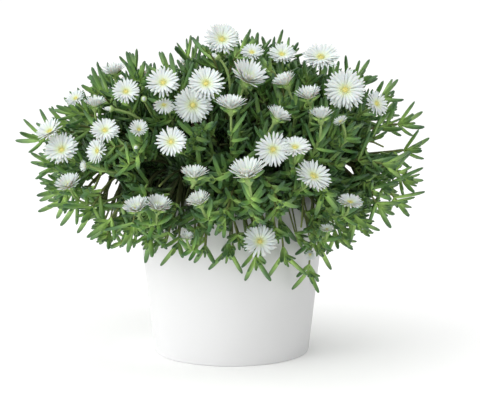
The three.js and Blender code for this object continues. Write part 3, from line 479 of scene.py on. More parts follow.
def placed_distance(u, v, shell, far=False):
    """That distance, brought forward where the piece would be too near the pot."""
    distance = sight_distance(u, v, shell, far)
    while not clear_of_pot(VIEW.point(u, v, distance), FRINGE_ROOM).all():
        distance -= 2
    return distance


# Regions: each leafy stem's own shoots keep to one sector, or to the crown round the middle

def sector_angle(sector):
    return math.radians(-90 + sector * 360 / SECTOR_COUNT)


def along(angle, point):
    return point[..., 0] * math.cos(angle) + point[..., 1] * math.sin(angle)


def region_of(point):
    reaches = [along(sector_angle(k), point) for k in range(SECTOR_COUNT)]
    best = int(np.argmax(reaches))
    return SECTOR_COUNT if reaches[best] < CROWN_REACH else best


def region_planes(region):
    """Upright planes as (angle, offset): a point is inside where its reach passes the offset."""
    if region == SECTOR_COUNT:
        offset = -(CROWN_REACH - REGION_GAP)
        return [(sector_angle(k) + math.pi, offset) for k in range(SECTOR_COUNT)]
    half = math.pi / SECTOR_COUNT
    middle = sector_angle(region)
    return [
        (middle, CROWN_REACH + REGION_GAP),
        (middle - half + math.pi / 2, REGION_GAP),
        (middle + half - math.pi / 2, REGION_GAP),
    ]


REGIONS = [region_planes(region) for region in range(SECTOR_COUNT + 1)]


def inside_region(region, point, margin):
    return all(along(angle, point) - offset >= margin for angle, offset in REGIONS[region])


def push_inside(region, point, margin):
    moved = point.copy()
    for _ in range(3):
        for angle, offset in REGIONS[region]:
            short = margin - (along(angle, moved) - offset)
            if short > 0:
                moved += polar(short, angle)
    return moved


def stem_place(region):
    return np.zeros(3) if region == SECTOR_COUNT else polar(STEM_RING, sector_angle(region))


# Clearances

def pot_outer_radius(height):
    return BASE_RADIUS + (RIM_RADIUS - BASE_RADIUS) * height / POT_HEIGHT


def clear_of_pot(points, margin):
    radius = np.hypot(points[..., 0], points[..., 1])
    height = points[..., 2]
    outer = pot_outer_radius(height)
    outside = (height > POT_HEIGHT + margin) | (radius > outer + margin)
    within = (radius < outer - WALL - margin) & (height > SOIL_MIDDLE_HEIGHT + margin)
    return outside | within


class Bloom:
    """A flower head: its centre, the way it faces, its radius and how far its petals rise."""

    def __init__(self, centre, axis, radius, rise, mate=False, in_front=False):
        self.centre = centre
        self.axis = axis
        self.radius = radius
        self.rise = math.radians(rise)
        self.mate = mate
        self.in_front = in_front
        self.region = None
        self.sides = (sideways(axis), cross(axis, sideways(axis)))

    @property
    def petal_rise(self):
        return self.radius * math.sin(self.rise)

    @property
    def hub_depth(self):
        return HUB_DEPTH * self.radius + HUB_RISE * self.petal_rise

    @property
    def stalk_end(self):
        return self.centre - self.axis * (self.hub_depth + GAP)

    def out(self, angle):
        first, second = self.sides
        return first * math.cos(angle) + second * math.sin(angle)

    def point(self, radius, angle, height):
        return self.centre + self.out(angle) * radius + self.axis * height

    def outline(self):
        """Its centre and two rings of twelve points on the petals."""
        turns = np.radians(30 * np.arange(12))[:, None]
        rim = (np.cos(turns) * self.sides[0] + np.sin(turns) * self.sides[1]) * self.radius
        rim = rim + self.axis * self.petal_rise
        return self.centre + np.concatenate([rim * 0, rim * 0.5, rim])

    def touches(self, points, margin):
        reach = points - self.centre
        height = reach @ self.axis
        across = np.sqrt(np.maximum(0, (reach ** 2).sum(-1) - height ** 2))
        outer = self.radius * math.cos(self.rise) + margin
        share = np.minimum(1, across / outer)
        hub = (1 - share) * self.hub_depth
        lowest = share * self.petal_rise - hub - PETAL_BELOW * self.radius - margin
        highest = share * self.petal_rise + PETAL_ABOVE * self.radius + margin
        return (across < outer) & (height > lowest) & (height < highest)


def sideways(axis):
    reference = np.array([1.0, 0, 0]) if abs(axis[2]) > 0.9 else UP
    return unit(cross(reference, axis))


class Bed:
    """All blooms together, for quick tests of many points."""

    def __init__(self, blooms):
        self.blooms = blooms
        self.centres = np.array([bloom.centre for bloom in blooms])
        self.axes = np.array([bloom.axis for bloom in blooms])
        self.radii = np.array([bloom.radius for bloom in blooms])
        self.spreads = np.array([bloom.radius * math.cos(bloom.rise) for bloom in blooms])
        self.rises = np.array([bloom.petal_rise for bloom in blooms])
        self.hubs = np.array([bloom.hub_depth for bloom in blooms])
        self.sights = np.array([unit(VIEW.eye - bloom.centre) for bloom in blooms])
        self.in_front = np.array([bloom.in_front for bloom in blooms])

    def heights(self, points, axes):
        """For points and each bloom: how far out along an axis, and how far across it."""
        reach = points[:, None, :] - self.centres
        height = np.einsum("ijk,jk->ij", reach, axes)
        return height, np.sqrt(np.maximum(0, np.einsum("ijk,ijk->ij", reach, reach) - height ** 2))

    def hidden_by(self, points):
        """True where a point stands close before a bloom, along its axis or seen from the front."""
        height, across = self.heights(points, self.axes)
        nearer, aside = self.heights(points, self.sights)
        above = (height > 0) & (height < HEADROOM) & (across < SIGHT_SHARE * self.radii)
        before = (nearer > 0) & (nearer < SIGHT_ROOM) & (aside < SIGHT_SHARE * self.radii)
        return (above | (before & self.in_front)).any()

    def clear(self, points, margin, own=None):
        height, across = self.heights(points, self.axes)
        margin = np.asarray(margin).reshape(-1, 1)
        outer = self.spreads + margin
        share = np.minimum(1, across / outer)
        lowest = share * self.rises - (1 - share) * self.hubs - PETAL_BELOW * self.radii - margin
        highest = share * self.rises + PETAL_ABOVE * self.radii + margin
        touching = (across < outer) & (height > lowest) & (height < highest)
        if own is not None:
            touching[:, own] = False
        return not touching.any()


# Plan of the blooms

def blooms_meet(one, other):
    reach = one.centre - other.centre
    far_apart = 1.5 * (one.radius + other.radius) + 4
    if math.sqrt(reach @ reach) > far_apart:
        return False
    return other.touches(one.outline(), 1).any() or one.touches(other.outline(), 1).any()


def settle(bloom):
    """Shifts a bloom so that its stalk's end lies well inside one region."""
    end = bloom.stalk_end
    bloom.region = region_of(end)
    bloom.centre = bloom.centre + push_inside(bloom.region, end, END_CLEARANCE) - end
    return bloom


def draw_together(bloom, mate):
    """Moves a bloom towards its mate until the two overlap at their petals."""
    reach = bloom.centre - mate.centre
    wanted = MATE_DISTANCE * (bloom.radius + mate.radius)
    if np.linalg.norm(reach) > wanted:
        bloom.centre = mate.centre + unit(reach) * wanted


def front_axis(tilt, lean):
    tilt, lean = math.radians(tilt), math.radians(lean)
    flat = VIEW.right * math.cos(lean) + VIEW.up * math.sin(lean)
    return unit(flat * math.sin(tilt) - VIEW.forward * math.cos(tilt))


def front_bloom(row, placed):
    axis = front_axis(row["tilt"], row["lean"])
    bloom = Bloom(None, axis, row["radius"], row["rise"], row.get("mate", False), True)
    if bloom.mate:
        mate = placed[-1]
        depth = np.linalg.norm(mate.centre - VIEW.eye)
        bloom.centre = VIEW.point(row["u"], row["v"], depth)
        settle(bloom)
        draw_together(bloom, mate)
        return bloom
    distance = placed_distance(row["u"], row["v"], BLOOM_SHELL, row.get("far", False))
    for step in FRONT_STEPS:
        bloom.centre = VIEW.point(row["u"], row["v"], distance + step)
        settle(bloom)
        if not any(blooms_meet(bloom, other) for other in placed):
            break
    return bloom


def back_row(index, placed, draw):
    """A row of three blooms on the far side, tried further on until it is clear of the rest."""
    share = (index + 0.5) / BACK_ROWS
    start = (index * BACK_TURN) % 1
    sizes = [least + span * draw() for least, span in BACK_SIZES]
    sway = math.radians(180 * draw())
    height = BACK_LOW + (BACK_HIGH - BACK_LOW) * share
    flat = math.sqrt(1 - height * height)
    for attempt in range(BACK_TRIES):
        angle = math.radians(BACK_START + BACK_SPAN * ((start + BACK_STEP * attempt) % 1))
        centre = dome_point(polar(flat, angle, height), BLOOM_SHELL)
        axis = unit(outward_normal(centre) + UP * BACK_LIFT)
        row = [settle(Bloom(centre, axis, sizes[0], BACK_RISE))]
        for side in (0, 1):
            away = MATE_DISTANCE * (sizes[0] + sizes[side + 1])
            place = row[0].point(away, sway + side * math.radians(BACK_BEND), -1)
            leaning = unit(axis + unit(place - row[0].centre) * MATE_LEAN)
            bloom = settle(Bloom(place, leaning, sizes[side + 1], MATE_RISE, True))
            draw_together(bloom, row[0])
            row.append(bloom)
        is_free = not any(blooms_meet(bloom, other) for bloom in row for other in placed)
        if is_free and all(is_covered(bloom.centre) for bloom in row):
            return row
    return []


@functools.cache
def lay_out_blooms():
    placed = []
    for row in FRONT_BLOOMS:
        placed.append(front_bloom(row, placed))
    draw = Draw(BACK_SEED)
    for k in range(BACK_ROWS):
        placed.extend(back_row(k, placed, draw))
    return placed


def bloom_groups(blooms):
    groups = []
    for bloom in blooms:
        if bloom.mate:
            groups[-1].append(bloom)
        else:
            groups.append([bloom])
    return groups


# Plan of the stalks and shoots

class Path:
    """A bent line from a stem to the end of a shoot or stalk."""

    def __init__(self, start, middle, end):
        self.start, self.middle, self.end = start, middle, end

    def points(self, shares):
        t = np.asarray(shares)[..., None]
        return (1 - t) ** 2 * self.start + 2 * t * (1 - t) * self.middle + t ** 2 * self.end

    def ahead(self, shares):
        t = np.asarray(shares)[..., None]
        way = (1 - t) * (self.middle - self.start) + t * (self.end - self.middle)
        return way / np.linalg.norm(way, axis=-1, keepdims=True)

    def length(self):
        steps = np.diff(self.points(np.linspace(0, 1, 201)), axis=0)
        return np.linalg.norm(steps, axis=1).sum()

    def side(self):
        side = cross(self.end - self.start, UP)
        return unit(side) if side @ side > 1 else np.array([1.0, 0, 0])

    def rooted_share(self):
        """Share of the path at which it is still well inside the foliage's core."""
        rooted = 0
        for share in ROOT_TESTS:
            point = self.points(share)
            if dome_share(point) > ROOTED_SHARE or point[2] < CORE_FLOOR + ROOTED_LIFT:
                break
            rooted = share
        return rooted


def root_point(region, target):
    if region == SECTOR_COUNT:
        flat = np.array([target[0], target[1], 0])
        reach = np.linalg.norm(flat)
        if reach > CROWN_ROOT_RADIUS:
            flat = flat * (CROWN_ROOT_RADIUS / reach)
        return flat + UP * ROOT_HEIGHT
    middle = sector_angle(region)
    limit = ROOT_TURN * math.pi / SECTOR_COUNT
    turn = math.atan2(along(middle + math.pi / 2, target), along(middle, target))
    return polar(ROOT_RADIUS, middle + max(-limit, min(limit, turn)), ROOT_HEIGHT)


def path_is_clear(path, region, bed, own):
    if not inside_region(region, path.middle, PATH_CLEARANCE):
        return False
    points = path.points(PATH_TESTS)
    if own is not None:
        bloom = bed.blooms[own]
        if path.ahead(1.0) @ bloom.axis < STRAIGHT_ARRIVAL:
            return False
        away = np.linalg.norm(points - path.end, axis=1) > OWN_REACH
        if (away & bloom.touches(points, SHOOT_RADIUS)).any():
            return False
    elif in_gap(points, STEM_GAP).any():
        return False
    return bed.clear(points, PATH_CLEARANCE, own) and clear_of_pot(points, PATH_CLEARANCE).all()


def find_path(region, end, middle, bed, own=None):
    """A bent path from the stem's core to an end, swung aside until it is clear."""
    start = root_point(region, end)
    side = unit(cross(end - start, UP))
    sway = SHOOT_SWAY * math.sin(end[0] / SWAY_SPACING) if own is None else 0
    for lift in PATH_LIFTS:
        for swing in PATH_SWINGS:
            bend = middle(start) + side * (sway + swing) + UP * lift
            path = Path(start, push_inside(region, bend, PATH_CLEARANCE), end)
            if path_is_clear(path, region, bed, own):
                return path
    return None


def arch_over(start, end):
    """Bend of a path that rises over the rim before it comes down to its end."""
    climb = max(0, end[2] - start[2])
    drop = max(0, ROOT_HEIGHT - end[2])
    bend = start + (end - start) * ARCH_PLACE
    bend[2] = max(start[2], end[2]) - ARCH_CLIMB * climb + ARCH_LIFT + ARCH_DROP * drop
    return bend


def stalk_path(index, bed):
    bloom = bed.blooms[index]
    end = bloom.stalk_end
    for share in STALK_REACHES:
        reach = share * np.linalg.norm(end - root_point(bloom.region, end))
        path = find_path(bloom.region, end, lambda _: end - bloom.axis * reach, bed, index)
        if path:
            return path
    return find_path(bloom.region, end, lambda start: arch_over(start, end), bed, index)


class Shoot:
    """A leafy shoot: its path, its region, where it leaves the core, and its leaves."""

    def __init__(self, path, region):
        self.path = path
        self.region = region
        self.side = path.side()
        self.start = path.rooted_share()
        self.span = path.length()
        self.spin = 0.0
        self.pairs = 0
        self.bud_radius = 0.0
        self.leaves = []

    def ring(self, share):
        ahead = self.path.ahead(share)
        first = unit(self.side - ahead * (self.side @ ahead))
        return self.path.points(share), ahead, first, cross(ahead, first)

    def lit_ring(self, share):
        """The same, turned from the shoot's own way towards the light."""
        place = self.path.points(share)
        outward = unit((place - DOME_MIDDLE) * (1, 1, 0))
        ahead = unit(self.path.ahead(share) + outward * OUTWARDS + UP * UPWARDS)
        first = unit(self.side - ahead * (self.side @ ahead))
        return place, ahead, first, cross(ahead, first)


def find_shoot(end, bed):
    region = region_of(end)
    settled = push_inside(region, end, END_CLEARANCE)
    path = find_path(region, settled, lambda start: arch_over(start, settled), bed)
    return Shoot(path, region) if path else None


# Plan of the leaves

class Leaf:
    """A bent fleshy finger that grows out of a shoot."""

    def __init__(self, root, direction, ahead, length, width, youth):
        self.root = root
        self.direction = direction
        self.ahead = ahead
        self.bend = ahead * LEAF_TURN + UP * LEAF_LIFT
        self.length = length
        self.width = width
        self.youth = youth

    def points(self, shares):
        t = np.asarray(shares)[..., None]
        return self.root + (self.direction * t + self.bend * t ** 2) * self.length


def leaf_is_clear(leaf, region, bed):
    half = leaf.width / 2
    if region is not None:
        if not inside_region(region, leaf.points(LEAF_WIDEST), half + EDGE_ROOM):
            return False
        if not inside_region(region, leaf.points(1.0), EDGE_ROOM):
            return False
    points = leaf.points(LEAF_TESTS)
    margins = np.where(LEAF_TESTS < TIP_START, half + LEAF_ROOM, TIP_ROOM)
    if in_gap(points).any() or in_hollow(points).any() or not clear_of_pot(points, margins).all():
        return False
    return bed.clear(points, margins) and not bed.hidden_by(points)


def leaf_length(height):
    """Length of a grown leaf: longer on the low shoots than on the high ones."""
    low = min(1, max(0, (HIGH_HEIGHT - height) / (HIGH_HEIGHT - LOW_HEIGHT)))
    return LEAF_LENGTH + (LOW_LEAF_LENGTH - LEAF_LENGTH) * low


def find_leaf(ring, turn, splay, size, bed, region=None, youth=0.0, slim=1.0):
    """A leaf, turned round its shoot or made shorter until it is clear."""
    root, ahead, first, second = ring
    splay = math.radians(splay)
    width = slim * LEAF_WIDTH * (0.8 + 0.2 * size / LOW_LEAF_LENGTH)
    for cut in LEAF_CUTS:
        for swing in LEAF_SWINGS:
            angle = math.radians(turn + swing)
            flat = first * math.cos(angle) + second * math.sin(angle)
            direction = ahead * math.cos(splay) + flat * math.sin(splay)
            leaf = Leaf(root, direction, ahead, size * cut, width, youth)
            if leaf_is_clear(leaf, region, bed):
                return leaf
    return None


def add_main_leaves(shoot, pairs, bed, draw):
    """Leaf pairs at a shoot's end, each pair a quarter turn on."""
    grown = leaf_length(shoot.path.end[2])
    shoot.spin = 90 * draw()
    for pair in range(pairs):
        is_end = pair == 0
        back = pair * PAIR_SPACING * (0.9 + 0.2 * draw())
        least, span = END_SPLAY if is_end else SIDE_SPLAY
        splay = least + span * draw()
        size = grown * (END_SIZE if is_end else 1) * (0.82 + 0.36 * draw())
        top = 1 - back / shoot.span
        foot = top - LEAF_FOOT / shoot.span
        if foot < shoot.start + 0.1:
            continue
        ring = shoot.ring((top + foot) / 2)
        for side in range(4):
            if side % 2 == pair % 2:
                turn = shoot.spin + 90 * side
                youth = END_YOUTH if is_end else SIDE_YOUTH
                leaf = find_leaf(ring, turn, splay, size, bed, shoot.region, youth)
                if leaf:
                    shoot.leaves.append(leaf)


def shoot_ends():
    ends = [VIEW.point(u, v, placed_distance(u, v, SHOOT_SHELL)) for u, v in FRONT_SHOOTS]
    for k in range(SPREAD_COUNT):
        height = 1 - (1 - SPREAD_LOW) * (k + 0.5) / SPREAD_COUNT
        flat = math.sqrt(1 - height * height)
        share = SPREAD_SHELL - CROWN_DROP * max(0, height)
        end = dome_point(polar(flat, math.radians(GOLDEN_ANGLE * k), height), share)
        if all(np.linalg.norm(other - end) > SHOOT_SPACING for other in ends):
            ends.append(end)
    return ends


def lay_out_shoots(bed):
    draw = Draw(SPREAD_SEED)
    shoots = []
    for index, end in enumerate(shoot_ends()):
        is_front = index < len(FRONT_SHOOTS)
        pairs = PAIRS_ON_FRONT_SHOOT if is_front else PAIRS_ON_SPREAD_SHOOT
        for share in END_SHARES:
            shoot = find_shoot(DOME_MIDDLE + (end - DOME_MIDDLE) * share, bed)
            if shoot:
                add_main_leaves(shoot, pairs, bed, draw)
                shoot.pairs = pairs
                shoots.append(shoot)
                break
    return shoots


def lay_out_buds(bed):
    buds = []
    for row in BUDS:
        distance = placed_distance(row["u"], row["v"], BLOOM_SHELL)
        shoot = find_shoot(VIEW.point(row["u"], row["v"], distance), bed)
        if shoot:
            shoot.bud_radius = row["radius"]
            buds.append(shoot)
    return buds


# Finer growth: more leaf pairs on each shoot and stalk, and short shoots that fill the inside

def add_pairs(shoot, first_back, last_back, size, spacing, bed, chance, youth=0.0):
    """Opposite leaf pairs behind a shoot's end, from one distance to another, in millimetres."""
    back = first_back
    pair = chance.randrange(2)
    while back < min(last_back, shoot.span * (1 - max(0.2, shoot.start))):
        ring = shoot.lit_ring(1 - back / shoot.span)
        splay = chance.uniform(40, 68)
        length = size * chance.uniform(0.75, 1.15)
        wobble = chance.uniform(-14, 14)
        for side in (0, 2):
            turn = shoot.spin + 90 * (pair + side) + wobble
            leaf = find_leaf(ring, turn, splay, length, bed, youth=youth, slim=SLIM)
            if leaf:
                shoot.leaves.append(leaf)
        youth = youth * 0.6
        pair += 1
        back += spacing * chance.uniform(0.85, 1.2)


def add_end_pair(shoot, bed, chance, size):
    """Two more grown leaves close to a shoot's end, a quarter turn on."""
    ring = shoot.ring(1 - END_PAIR_DEPTH / shoot.span)
    splay = chance.uniform(38, 62)
    for turn in (90, 270):
        length = size * chance.uniform(0.8, 1.15)
        leaf = find_leaf(
            ring, shoot.spin + turn, splay, length, bed, shoot.region, youth=0.6, slim=0.92)
        if leaf:
            shoot.leaves.append(leaf)


def add_tuft(shoot, bed, chance, size):
    """Young leaves that still stand close together at a shoot's end."""
    ring = shoot.lit_ring(1 - 1.2 / shoot.span)
    spin = chance.uniform(0, 90)
    for turn, splay, share in TUFT_LEAVES:
        leaf = find_leaf(ring, spin + turn, splay, size * share, bed, youth=1.0, slim=0.75)
        if leaf:
            shoot.leaves.append(leaf)


def add_side_tufts(shoot, bed, chance):
    """Small new leaves in the angle between a leaf and its shoot."""
    for leaf in list(shoot.leaves):
        if leaf.length < SIDE_TUFT_LEAST or chance.random() > SIDE_TUFT_SHARE:
            continue
        root = leaf.points(0.06)
        lean = unit(leaf.direction * 0.6 + leaf.ahead)
        side = sideways(lean)
        ring = (root, lean, side, cross(lean, side))
        spin = chance.uniform(0, 180)
        for turn in (spin, spin + 180):
            length = SIDE_TUFT_LEAF * chance.uniform(0.8, 1.2)
            small = find_leaf(ring, turn, chance.uniform(14, 30), length, bed, youth=0.85, slim=0.66)
            if small:
                shoot.leaves.append(small)


def lay_out_inner_shoots(bed, foliage):
    """Short shoots all over the inside, by a spiral rule, which the outer ones stand out of."""
    chance = random.Random(foliage.seed)
    deepest, highest = CLUMP_DEPTHS
    shoots = []
    for k in range(foliage.inner_shoots):
        height = 1 - (1 - INNER_LOW) * (k + 0.5) / foliage.inner_shoots
        flat = math.sqrt(1 - height * height)
        angle = math.radians(GOLDEN_ANGLE * k + chance.uniform(-9, 9))
        way = polar(flat, angle, height)
        waves = 0.5 + 1.1 * noise.noise(Vector(way / CLUMP_SIZE))
        clump = min(1, max(0, waves + chance.uniform(-0.15, 0.15)))
        share = deepest + (highest - deepest) * clump - CROWN_DROP * max(0, height)
        shoot = find_shoot(dome_point(way, share), bed)
        if shoot:
            shoot.spin = chance.uniform(0, 90)
            add_tuft(shoot, bed, chance, INNER_LEAF)
            add_pairs(shoot, TUFT_DEPTH, INNER_DEPTH, INNER_LEAF, INNER_SPACING, bed, chance, 0.45)
            shoots.append(shoot)
    return shoots


def lay_out_fringe(bed, foliage):
    """Short shoots all round that hang over the rim, in front of one another."""
    chance = random.Random(foliage.seed + 3)
    shoots = []
    for k in range(foliage.fringe_shoots):
        height = chance.uniform(*FRINGE_HEIGHTS)
        reach = pot_outer_radius(height) + chance.uniform(*FRINGE_REACHES)
        end = polar(reach, math.radians(GOLDEN_ANGLE * k + chance.uniform(-4, 4)), height)
        shoot = find_shoot(end, bed)
        if shoot:
            shoot.spin = chance.uniform(0, 90)
            add_tuft(shoot, bed, chance, INNER_LEAF)
            add_pairs(shoot, TUFT_DEPTH, FRINGE_DEPTH, INNER_LEAF, FRINGE_SPACING, bed, chance, 0.5)
            shoots.append(shoot)
    return shoots


class Plan:
    """Where everything on the plant grows."""

    def __init__(self, foliage):
        self.blooms = lay_out_blooms()
        self.bed = Bed(self.blooms)
        self.stalks = [stalk_path(k, self.bed) for k in range(len(self.blooms))]
        self.shoots = lay_out_shoots(self.bed)
        self.buds = lay_out_buds(self.bed)
        self.inner = lay_out_inner_shoots(self.bed, foliage) + lay_out_fringe(self.bed, foliage)
        self.leafy_stalks = []
        chance = random.Random(foliage.seed + 1)
        for shoot in self.shoots:
            size = 0.8 * leaf_length(shoot.path.end[2])
            add_end_pair(shoot, self.bed, chance, size)
            add_tuft(shoot, self.bed, chance, size)
            behind = shoot.pairs * PAIR_SPACING
            add_pairs(shoot, behind, OUTER_DEPTH, size, OUTER_SPACING, self.bed, chance, 0.15)
            add_side_tufts(shoot, self.bed, chance)
        for bloom, path in zip(self.blooms, self.stalks):
            if path:
                stalk = Shoot(path, bloom.region)
                stalk.spin = chance.uniform(0, 90)
                add_pairs(
                    stalk, BARE_STALK, OUTER_DEPTH, INNER_LEAF, OUTER_SPACING, self.bed, chance, 0.3)
                self.leafy_stalks.append(stalk)


# Forms: shapes that are modelled once and copied

def deselect_all():
    if bpy.context.mode != "OBJECT":
        bpy.ops.object.mode_set(mode="OBJECT")
    bpy.ops.object.select_all(action="DESELECT")


def drawn_out(name, sides, rings, to_point=False):
    """A filled circle drawn out ring by ring; each ring is (height, half width, half depth)."""
    deselect_all()
    bpy.ops.mesh.primitive_circle_add(vertices=sides, radius=1, fill_type="NGON")
    made = bpy.context.object
    made.name = name
    height, width, depth = rings[0]
    bpy.ops.object.mode_set(mode="EDIT")
    bpy.ops.mesh.select_all(action="SELECT")
    bpy.ops.transform.resize(value=(width, depth, 1), center_override=(0, 0, 0))
    bpy.ops.transform.translate(value=(0, 0, height))
    for ring in rings[1:]:
        lift = (0, 0, ring[0] - height)
        bpy.ops.mesh.extrude_region_move(TRANSFORM_OT_translate={"value": lift})
        scale = (ring[1] / width, ring[2] / depth, 1)
        bpy.ops.transform.resize(value=scale, center_override=(0, 0, ring[0]))
        height, width, depth = ring
    if to_point:
        bpy.ops.mesh.merge(type="CENTER")
    bpy.ops.mesh.select_all(action="SELECT")
    bpy.ops.mesh.normals_make_consistent(inside=False)
    bpy.ops.object.mode_set(mode="OBJECT")
    return made


class Form:
    """The corners and faces of a modelled shape, ready to be copied."""

    def __init__(self, made):
        self.corners = np.array([tuple(corner.co) for corner in made.data.vertices])
        self.faces = [tuple(face.vertices) for face in made.data.polygons]
        bpy.data.objects.remove(made)


def leaf_form():
    rings = [
        (0.0, 0.52, 0.46), (0.1, 0.7, 0.62), (0.3, 0.94, 0.78), (0.58, 1.0, 0.84),
        (0.82, 0.9, 0.76), (0.95, 0.6, 0.5), (0.995, 0.22, 0.2),
    ]
    return Form(drawn_out("leaf_form", 6, rings))


def small_leaf_form():
    rings = [
        (0.0, 0.55, 0.48), (0.25, 0.95, 0.8), (0.7, 1.0, 0.84), (0.93, 0.7, 0.58), (0.995, 0.25, 0.2),
    ]
    return Form(drawn_out("small_leaf_form", 5, rings))


def petal_form():
    rings = [
        (0.0, 0.5, 0.24), (0.25, 0.72, 0.24), (0.6, 1.0, 0.24), (0.86, 0.84, 0.18), (0.995, 0.3, 0.1),
    ]
    return Form(drawn_out("petal_form", 4, rings))


def rod_form(sides, steps):
    rings = [(k / steps, 1, 1) for k in range(steps + 1)]
    return Form(drawn_out("rod_form", sides, rings))


def stamen_form():
    rings = [(0.0, 0.5, 0.5), (0.62, 0.42, 0.42), (0.78, 1.0, 1.0), (0.96, 0.8, 0.8)]
    return Form(drawn_out("stamen_form", 4, rings))


def boss_form():
    rings = [(-0.5, 0.7, 0.7), (0.0, 1, 1), (0.5, 0.84, 0.84), (0.85, 0.5, 0.5), (1.0, 0.15, 0.15)]
    return Form(drawn_out("boss_form", 12, rings))


def calyx_form():
    rings = [
        (0.0, 0.3, 0.3), (0.12, 0.44, 0.44), (0.35, 0.66, 0.66), (0.62, 0.86, 0.86),
        (0.88, 1.0, 1.0), (1.0, 0.9, 0.9),
    ]
    return Form(drawn_out("calyx_form", 10, rings))


# Growth

class Growth:
    """Many copies of forms that become one piece, with values that its materials read."""

    def __init__(self, finishes):
        self.finishes = finishes
        self.corners = []
        self.faces = []
        self.slots = []
        self.values = {name: [] for name in ("length", "across", "tint", "youth", "light")}
        self.count = 0

    def add(self, form, corners, finish, tint=0.5, youth=0.0, light=1.0):
        size = len(form.corners)
        self.corners.append(corners)
        self.faces.extend(tuple(self.count + k for k in face) for face in form.faces)
        self.slots.extend([self.finishes.index(finish)] * len(form.faces))
        self.values["length"].append(form.corners[:, 2])
        self.values["across"].append(form.corners[:, 0])
        for name, value in (("tint", tint), ("youth", youth), ("light", light)):
            self.values[name].append(np.full(size, value))
        self.count += size

    def to_piece(self, name):
        mesh = bpy.data.meshes.new(name)
        points = np.concatenate(self.corners) * MM
        mesh.from_pydata(points.tolist(), [], self.faces)
        for finish in self.finishes:
            mesh.materials.append(finish)
        mesh.polygons.foreach_set("material_index", self.slots)
        for value_name, rows in self.values.items():
            layer = mesh.attributes.new(value_name, "FLOAT", "POINT")
            layer.data.foreach_set("value", np.concatenate(rows).astype(np.float32))
        mesh.update()
        piece = bpy.data.objects.new(name, mesh)
        bpy.context.collection.objects.link(piece)
        deselect_all()
        piece.select_set(True)
        bpy.context.view_layer.objects.active = piece
        bpy.ops.object.shade_smooth_by_angle(angle=math.radians(75))
        return piece


def light_at(points):
    """How far out of the foliage's shade places are, from 0 to 1; hollows lie in deeper shade."""
    shares = dome_share(points)
    light = np.clip((shares - DARK_SHARE) / DARK_FADE, 0, 1)
    in_shade = is_seen_in(HOLLOWS, points, HOLLOW_EDGE) & (points[:, 1] < 0) & (shares < LIT_SHARE)
    return np.where(in_shade, HOLLOW_LIGHT * light, light)


def bent_leaf(form, leaf, plump=1.0):
    x, y, z = form.corners.T[..., None]
    side = cross(leaf.ahead, leaf.direction)
    side = unit(side) if side @ side > 1e-6 else sideways(leaf.direction)
    upper = cross(leaf.direction, side)
    half = leaf.width / 2
    return leaf.points(z[:, 0]) + side * x * half + upper * y * half * plump


def bent_rod(form, path, start, end, thick, thin):
    """A round stem that follows a path and gets thinner on the way."""
    shares = start + (end - start) * form.corners[:, 2]
    centres = path.points(shares)
    aheads = path.ahead(shares)
    side = path.side()
    firsts = side - aheads * (aheads @ side)[:, None]
    firsts = firsts / np.linalg.norm(firsts, axis=1, keepdims=True)
    seconds = np.cross(aheads, firsts)
    radius = (thick + (thin - thick) * form.corners[:, 2])[:, None]
    x, y = form.corners[:, 0:1], form.corners[:, 1:2]
    return centres + (firsts * x + seconds * y) * radius


def set_upright(form, centre, axis, radius, height):
    """A form turned about an axis and given a radius and a height."""
    first = sideways(axis)
    second = cross(axis, first)
    x, y, z = form.corners.T[..., None]
    return centre + (first * x + second * y) * radius + axis * z * height


# Materials

def group_with_pattern(name, detail, takes, gives):
    """A node group with named sockets and a noise pattern that is fixed to the piece."""
    group = bpy.data.node_groups.new(name, "ShaderNodeTree")
    for in_out, sockets in (("INPUT", takes), ("OUTPUT", gives)):
        for socket, kind in sockets.items():
            group.interface.new_socket(name=socket, in_out=in_out, socket_type=f"NodeSocket{kind}")
    nodes, links = group.nodes, group.links
    inputs = nodes.new("NodeGroupInput")
    outputs = nodes.new("NodeGroupOutput")
    place = nodes.new("ShaderNodeTexCoord")
    pattern = nodes.new("ShaderNodeTexNoise")
    pattern.inputs["Detail"].default_value = detail
    links.new(place.outputs["Object"], pattern.inputs["Vector"])
    links.new(inputs.outputs["Scale"], pattern.inputs["Scale"])
    return group, inputs, outputs, pattern.outputs["Fac"]


def mottle_group():
    """Soft patches of a second colour, and roughness that goes with them."""
    sockets = {
        "Colour": "Color", "Patch colour": "Color", "Scale": "Float", "Amount": "Float",
        "Low roughness": "Float", "High roughness": "Float",
    }
    group, inputs, outputs, waves = group_with_pattern(
        "soft mottling", 4, sockets, {"Colour": "Color", "Roughness": "Float"})
    nodes, links = group.nodes, group.links
    patch = nodes.new("ShaderNodeMapRange")
    patch.inputs["From Min"].default_value = 0.38
    patch.inputs["From Max"].default_value = 0.66
    links.new(waves, patch.inputs["Value"])
    amount = nodes.new("ShaderNodeMath")
    amount.operation = "MULTIPLY"
    links.new(patch.outputs["Result"], amount.inputs[0])
    links.new(inputs.outputs["Amount"], amount.inputs[1])
    mix = nodes.new("ShaderNodeMix")
    mix.data_type = "RGBA"
    links.new(amount.outputs[0], mix.inputs["Factor"])
    links.new(inputs.outputs["Colour"], mix.inputs["A"])
    links.new(inputs.outputs["Patch colour"], mix.inputs["B"])
    links.new(mix.outputs["Result"], outputs.inputs["Colour"])
    rough = nodes.new("ShaderNodeMapRange")
    links.new(waves, rough.inputs["Value"])
    links.new(inputs.outputs["Low roughness"], rough.inputs["To Min"])
    links.new(inputs.outputs["High roughness"], rough.inputs["To Max"])
    links.new(rough.outputs["Result"], outputs.inputs["Roughness"])
    return group


